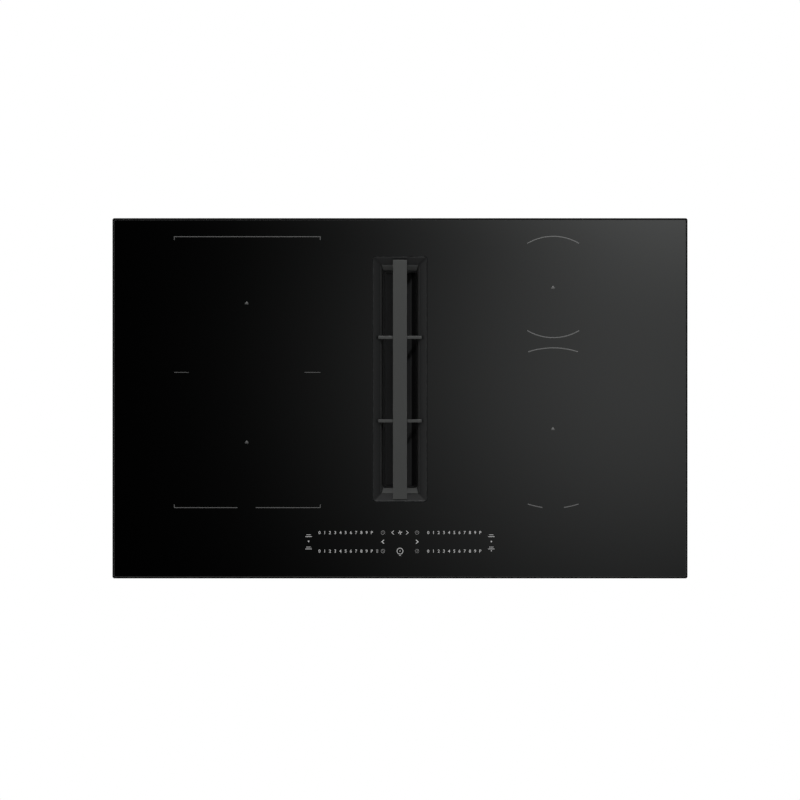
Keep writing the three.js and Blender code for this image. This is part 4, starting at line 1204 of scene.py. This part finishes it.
def coil(node, is_round):
    """A winding of stranded wire, with a sensor in its middle."""
    x0, x1, y0, y1, z0, z1 = span(node)
    half_x, half_y = (x1 - x0) / 2, (y1 - y0) / 2
    centre = ((x0 + x1) / 2, (y0 + y1) / 2)
    z = (z0 + z1) / 2
    if is_round:
        points = spiral_round(centre, 26 + WIRE, half_x - WIRE, z)
    else:
        inner, outer = (32 + WIRE, 26 + WIRE, 20), (half_x - WIRE, half_y - WIRE, 57)
        points = spiral_square(centre, inner, outer, z)
    name = node + "_winding"
    mesh = bpy.data.meshes.new(name)
    steps = [(i, i + 1) for i in range(len(points) - 1)]
    mesh.from_pydata([[value * MM for value in point] for point in points], steps, [])
    obj = grown(name, WOUND, "copper_winding", {"Wire radius": WIRE * MM, "Sides": 8}, mesh)
    obj.data.shade_smooth()
    hand_over(obj, "copper_winding", node)
    profile = [(10, z0 - 0.1), (10, z0 + 1.5), (8.5, z0 + 2), (5, z0 + 2), (4.6, z0 + 4.6), (3.6, z0 + 5)]
    bm = alone(turned, profile, 24, centre)
    round_edges(bm, 0.25)
    piece(node + "_sensor", bm, "pale_plastic")


def coil_bases():
    """The plates and ferrites that carry the coils."""
    for side in SIDES.values():
        plate = "coil_plate_" + side
        dress(plate, "aluminium_sheet", 0.35, 40)
        for end in ("rear", "front"):
            dress(f"ferrite_{side}_{end}", "ferrite", 0.5, 40)
            coil(f"coil_{side}_{end}", side == "right")
        x0, x1, y0, y1, _, z1 = span(plate)
        screws(plate, 2.8, 1.4, [
            (x, y, z1 - 4, UP) for x in (x0 + 8, x1 - 8) for y in (y0 + 10, (y0 + y1) / 2, y1 - 10)])


def can(bm, x, y, z, radius, height):
    """A standing capacitor: sleeve with a crimp and a scored top."""
    turned(bm, [
        (radius - 0.8, z), (radius, z + 0.8), (radius, z + 2.2), (radius - 0.7, z + 3), (radius, z + 3.8),
        (radius, z + height - 1), (radius - 1, z + height), (radius - 1.4, z + height - 0.2),
    ], 24, (x, y), mark=1)


def choke(bm, x, y, z, radius, thick):
    """A ring core in its winding."""
    inner, outer = radius * 0.55, radius * 0.85
    core = [(inner, z), (outer, z), (outer, z + thick), (inner, z + thick)]
    turned(bm, core, 32, (x, y), closed=True, mark=1)
    loop = [(radius * 0.7 + radius * 0.2 * math.cos(way), z + thick / 2 + (thick / 2 + 0.9) * math.sin(way))
            for way in circle(10)]
    for angle in circle(24)[:22]:
        rings = []
        for across in (-0.75, 0.75):
            middle = (x - across * math.sin(angle), y + across * math.cos(angle))
            rings.append([(*polar(r, angle, middle), h) for r, h in loop])
        loft(bm, rings, False, mark=2)


def power_board(side):
    """A power board with its row of capacitors, chokes, drivers and plugs."""
    x0, x1, y0, y1, _, _ = span("power_board_" + side)
    sink_x0, sink_x1, sink_y0, sink_y1, top, _ = span("heat_sink_" + side)
    mid = (x0 + x1) / 2

    def parts(bm):
        for y in even(y0 + 30, 26, 3):
            can(bm, x0 + 16, y, top, 9.5, 26)
        for i in range(4):
            can(bm, x1 - 14 - 18 * (i % 2), y1 - 18 - 16 * (i // 2), top, 6, 17)
        choke(bm, x1 - 24, y0 + 34, top, 17, 13)
        choke(bm, x0 + 22, y1 - 26, top, 14, 11)
        for low in even(y0 + 62, 9, 6):
            block(bm, x1 - 58, x1 - 46, low, low + 5, top, top + 1.8, 1)
            for pin in range(5):
                block(bm, x1 - 59.4, x1 - 44.6, low + 0.4 + pin, low + 0.8 + pin, top, top + 0.6, 3)
        block(bm, mid - 96, mid - 80, y0 + 3, y0 + 13, top, top + 12, 4)
        block(bm, mid + 40, mid + 70, y0 + 3, y0 + 12, top, top + 10, 4)
        for x in even(mid + 42, 4, 7):
            block(bm, x, x + 2, y0 + 2.2, y0 + 3.3, top + 3, top + 8, 3)
        for low in (y0 + 26, y0 + 60):
            block(bm, x0 + 36, x0 + 58, low, low + 28, top, top + 16, 1)
        for low in even(y0 + 28, 34, 4):
            for near in (mid - 34.5, mid + 30.2):
                block(bm, near, near + 4.3, low, low + 15, top + 2, top + 20, 1)

    def ridges(bm):
        """Fine ridges along the outer fins."""
        for left in (sink_x0 - 0.35, sink_x1 - 0.2):
            for z in even(top + 8, 3, 6):
                block(bm, left, left + 0.55, sink_y0 + 0.5, sink_y1 - 0.5, z, z + 1)

    others = ("black_plastic", "copper_winding", "screw_steel", "pale_plastic")
    dress("power_board_" + side, "circuit_board", 0.25, 40, 1, extra=parts, others=others)
    draw = random.Random(11 if side == "left" else 12)
    places = []
    for i in range(110):
        if i % 3:
            x = draw.choice((x0 + 62, x1 - 42)) + draw.uniform(-3, 3)
        else:
            x = draw.uniform(x1 - 60, x1 - 44)
        places.append((x, draw.uniform(y0 + 18, y1 - 8), top, (0, 0, draw.choice((0, 90)))))
    small = alone(block, -1, 1, -0.6, 0.6, -0.1, 0.6)
    on_spots(f"power_board_{side}_small_parts", small, "pale_plastic", places)
    dress("heat_sink_" + side, "aluminium_sheet", 0.3, 40, extra=ridges)


def cooler(side):
    """An axial cooling fan."""
    node, impeller = "cooling_fan_housing_" + side, "cooling_fan_impeller_" + side
    x0, x1, y0, y1, z0, z1 = span(node)
    x, y = (x0 + x1) / 2, (y0 + y1) / 2

    def ears(bm):
        mouth = [(36.2, z1 - 0.2), (38.4, z1 - 0.2), (38, z1 + 0.7), (36.6, z1 + 0.7)]
        turned(bm, mouth, 48, (x, y), closed=True)
        for near in (y0 - 0.9, y1 - 0.3):
            for low in even(x - 24, 12, 5):
                block(bm, low - 1, low + 1, near, near + 1.2, z0 + 2, z1 - 2)

    dress(node, "black_plastic", 0.5, 40, extra=ears)
    places = [(x + dx, y + dy, z1, UP) for dx in (-36, 36) for dy in (-36, 36)]
    screws("cooling_fan_" + side, 2.8, 1.6, places)

    low, high = span(impeller)[4:]
    rings = []
    for radius, chord, pitch in ((13.4, 8, 52), (20, 11, 44), (27, 13.5, 37), (33.6, 15, 31)):
        tilt = Matrix.Rotation(math.radians(pitch), 2)
        rings.append([])
        for along, thick in ((-0.5, 0.15), (-0.2, 0.6), (0.2, 0.7), (0.5, 0.2), (0.2, -0.35), (-0.2, -0.45)):
            across, rise = tilt @ Vector((along * chord, thick))
            rings[-1].append((*polar(radius, across / radius), (low + high) / 2 + rise))
    bm = round_axis(impeller + "_blades", "black_plastic", alone(loft, rings, False), 9)
    turned(bm, [(13.4, low), (14, low + 0.6), (14, high - 2.4), (13.2, high - 0.9), (11, high - 0.1),
                (6, high), (5.6, high - 0.5), (0.8, high - 0.5)], 36)
    lay(bm.verts, (x, y, 0))
    piece(impeller + "_moulded", bm, "black_plastic", impeller)


def controls_inside():
    """The light guide and the board behind the printed controls."""
    _, _, y0, y1, z0, z1 = span("light_guide")
    left, right, front, _, under, _ = span("touch_board")

    def wells(bm):
        y = (y0 + y1) / 2
        for middle in (-92, 92):
            for x in even(middle - 30, 15, 5):
                block(bm, x - 0.6, x + 0.6, y - 17.2, y + 17.2, z0 + 0.3, z1 - 1.2)
            block(bm, middle - 38.2, middle + 38.2, y - 0.6, y + 0.6, z0 + 0.3, z1 - 1.5)

    def chips(bm):
        for x in even(left + 40, 64, 4):
            block(bm, x - 5, x + 5, front + 16, front + 26, under - 1.4, under, 1)
            for pin in even(x - 4.6, 1.2, 8):
                block(bm, pin, pin + 0.5, front + 14.6, front + 27.4, under - 0.5, under, 2)
        for x in (right - 30, left + 12):
            block(bm, x, x + 18, front + 4, front + 11, under - 8, under, 3)

    dress("light_guide", "pale_plastic", 0.4, 32, extra=wells)
    others = ("black_plastic", "screw_steel", "pale_plastic")
    dress("touch_board", "circuit_board", 0.25, 40, 1, extra=chips, others=others)


# ---- stage, light and camera, in metres ----

CAMERA_AT, CAMERA_RISE = (0.00003, -0.00246), 3.2055  # the lens's place, and its height over the glass
LENS, SENSOR = 100, 36
WHITE = (1, 1, 1, 1)
FLOOR_SIZE, FLOOR_GLOW = 12, 1.3  # the glow is what it sheds on the object; it looks plain white
CARD_SIZE, CARD_RISE = 3.2, 3.4
CARD_BASE = 0.001  # its glow away from the pools
MIRRORED = 0.041  # the share of the card's light that the glass gives back straight up
# Soft pools of light, as the glass shows them: how bright, where their middle is, and how far they spread.
CARD_POOLS = (
    (0.0385, (0.359, 0.067), (0.36, 0.354)), (0.028, (0.434, 0.27), (0.242, 0.114)),
    (0.015, (0.36, 0.3), (0.36, 0.055)),
)
KEY_WAY = Vector((0, 0.62, 0.785)).normalized()
KEY_SIZE, KEY_FAR, KEY_POWER = 0.7, 8, 255
FILTER_SHARE = 0.62  # of the key's power, for the pieces that have a lamp of their own
WORLD_LOW, WORLD_HIGH, WORLD_FADE = 0.9, 0.1, (0.02, 0.68)
FILL_WAY = Vector((-0.95, 0.1, 0.28)).normalized()
FILL_GLOW, FILL_SPREAD = 0.35, 0.04


def camera():
    data = bpy.data.cameras.new("camera")
    data.lens, data.sensor_width, data.sensor_fit = LENS, SENSOR, "HORIZONTAL"
    data.clip_end = 50
    obj = bpy.context.scene.camera = link(bpy.data.objects.new("camera", data))
    obj.location = (*CAMERA_AT, TOP * MM + CAMERA_RISE)


def bare(owner):
    """The empty net of a new material or world."""
    owner.use_nodes = True
    owner.node_tree.nodes.clear()
    return Net(owner.node_tree)


def add_card(name, material, size, height, up=False, seen=True):
    """A level square that gives light."""
    bm = bmesh.new()
    bmesh.ops.create_grid(bm, x_segments=1, y_segments=1, size=size / 2)
    if not up:
        bmesh.ops.reverse_faces(bm, faces=bm.faces)
    mesh = bpy.data.meshes.new(name)
    bm.to_mesh(mesh)
    bm.free()
    mesh.transform(Matrix.Translation((0, 0, height)))
    mesh.materials.append(material)
    obj = link(bpy.data.objects.new(name, mesh))
    obj.visible_camera = seen


def floor():
    """A wide floor that looks plain white, gives light to the object and is clear from below."""
    material = bpy.data.materials.new("pale_floor")
    net = bare(material)
    seen = net.node("ShaderNodeLightPath", out="Is Camera Ray")
    strength = seen * (1 - FLOOR_GLOW) + FLOOR_GLOW
    glow = net.node("ShaderNodeEmission", {"Color": WHITE, "Strength": strength})
    clear = net.node("ShaderNodeBsdfTransparent", {"Color": WHITE})
    below = net.node("ShaderNodeNewGeometry", out="Backfacing")
    both = net.node("ShaderNodeMixShader", {0: below, 1: glow, 2: clear})
    net.node("ShaderNodeOutputMaterial", {"Surface": both})
    add_card("floor", material, FLOOR_SIZE, -1 * MM, up=True)


def gradient_card():
    """An overhead card whose glow fades to the left and the front, as the glass mirrors it."""
    stretch = 1 + CARD_RISE / CAMERA_RISE
    material = bpy.data.materials.new("gradient_card")
    net = bare(material)
    at = net.node("ShaderNodeTexCoord", out="Object")
    x, y = (net.node("ShaderNodeSeparateXYZ", {"Vector": at}, axis) for axis in "XY")
    strength = CARD_BASE
    for shown, middle, spread in CARD_POOLS:
        dx = (x - middle[0] * stretch) / (spread[0] * stretch)
        dy = (y - middle[1] * stretch) / (spread[1] * stretch)
        strength = (dx * dx + dy * dy).fade() * (shown / MIRRORED) + strength
    glow = net.node("ShaderNodeEmission", {"Color": (0.985, 1.01, 1.0, 1), "Strength": strength})
    net.node("ShaderNodeOutputMaterial", {"Surface": glow})
    add_card("gradient_card", material, CARD_SIZE, TOP * MM + CARD_RISE, seen=False)


def lamp(name, power, state, *pieces, shadow=True):
    """A round soft light that looks at the intake, and leaves out (or lights only) the given pieces."""
    data = bpy.data.lights.new(name, "AREA")
    data.shape, data.size, data.energy, data.use_shadow = "DISK", KEY_SIZE, power, shadow
    obj = link(bpy.data.objects.new(name, data))
    obj.location = Vector((*INTAKE, TOP)) * MM + KEY_WAY * KEY_FAR
    obj.rotation_euler = KEY_WAY.to_track_quat("Z", "Y").to_euler()
    receivers = bpy.data.collections.new(name + "_receivers")
    for made in pieces:
        receivers.objects.link(made)
    for item in receivers.collection_objects:
        item.light_linking.link_state = state
    obj.light_linking.receiver_collection = receivers


def world():
    """A studio that is pale low round the object, more so on the left, and dim overhead. It looks white."""
    surroundings = bpy.context.scene.world = bpy.data.worlds.new("studio")
    net = bare(surroundings)
    way = net.node("ShaderNodeTexCoord", out="Generated")
    height = net.node("ShaderNodeSeparateXYZ", {"Vector": way}, "Z")
    room = WORLD_HIGH + (1 - height.smooth(*WORLD_FADE)) * (WORLD_LOW - WORLD_HIGH)
    toward = net.node("ShaderNodeVectorMath", {0: way, 1: FILL_WAY}, "Value", operation="DOT_PRODUCT")
    room = room + ((1 - toward) / FILL_SPREAD).fade() * FILL_GLOW
    seen = net.node("ShaderNodeLightPath", out="Is Camera Ray")
    glow = net.node("ShaderNodeBackground", {"Color": WHITE, "Strength": room * (1 - seen) + seen})
    net.node("ShaderNodeOutputWorld", {"Surface": glow})
    bpy.context.scene.view_settings.view_transform = "Standard"


camera()
world()
floor()
gradient_card()

for row in frame["record"]["subparts"]:
    node = frame["nodes"][row["node"]]
    node.data.materials.clear()
    node.data.materials.append(FINISHES[row["material_slot"]])

glass = glass_panel()
zone_prints()
zone_arrows()
control_digits()
control_clocks()
control_marks()
intake_frame()
end_plate("rear", 1)
end_plate("front", -1)
shadowless = grille_and_filter()
# The glass doesn't mirror the key, and no shadow of the grille falls on the filter's left slope and rim.
lamp("key", KEY_POWER, "EXCLUDE", glass, *shadowless)
lamp("key_filter", KEY_POWER * FILTER_SHARE, "INCLUDE", *shadowless, shadow=False)
casing()
clamps_and_seals()
fan_box()
duct_spigot()
blower()
terminal()
coil_bases()
for side_name in SIDES.values():
    power_board(side_name)
    cooler(side_name)
controls_inside()
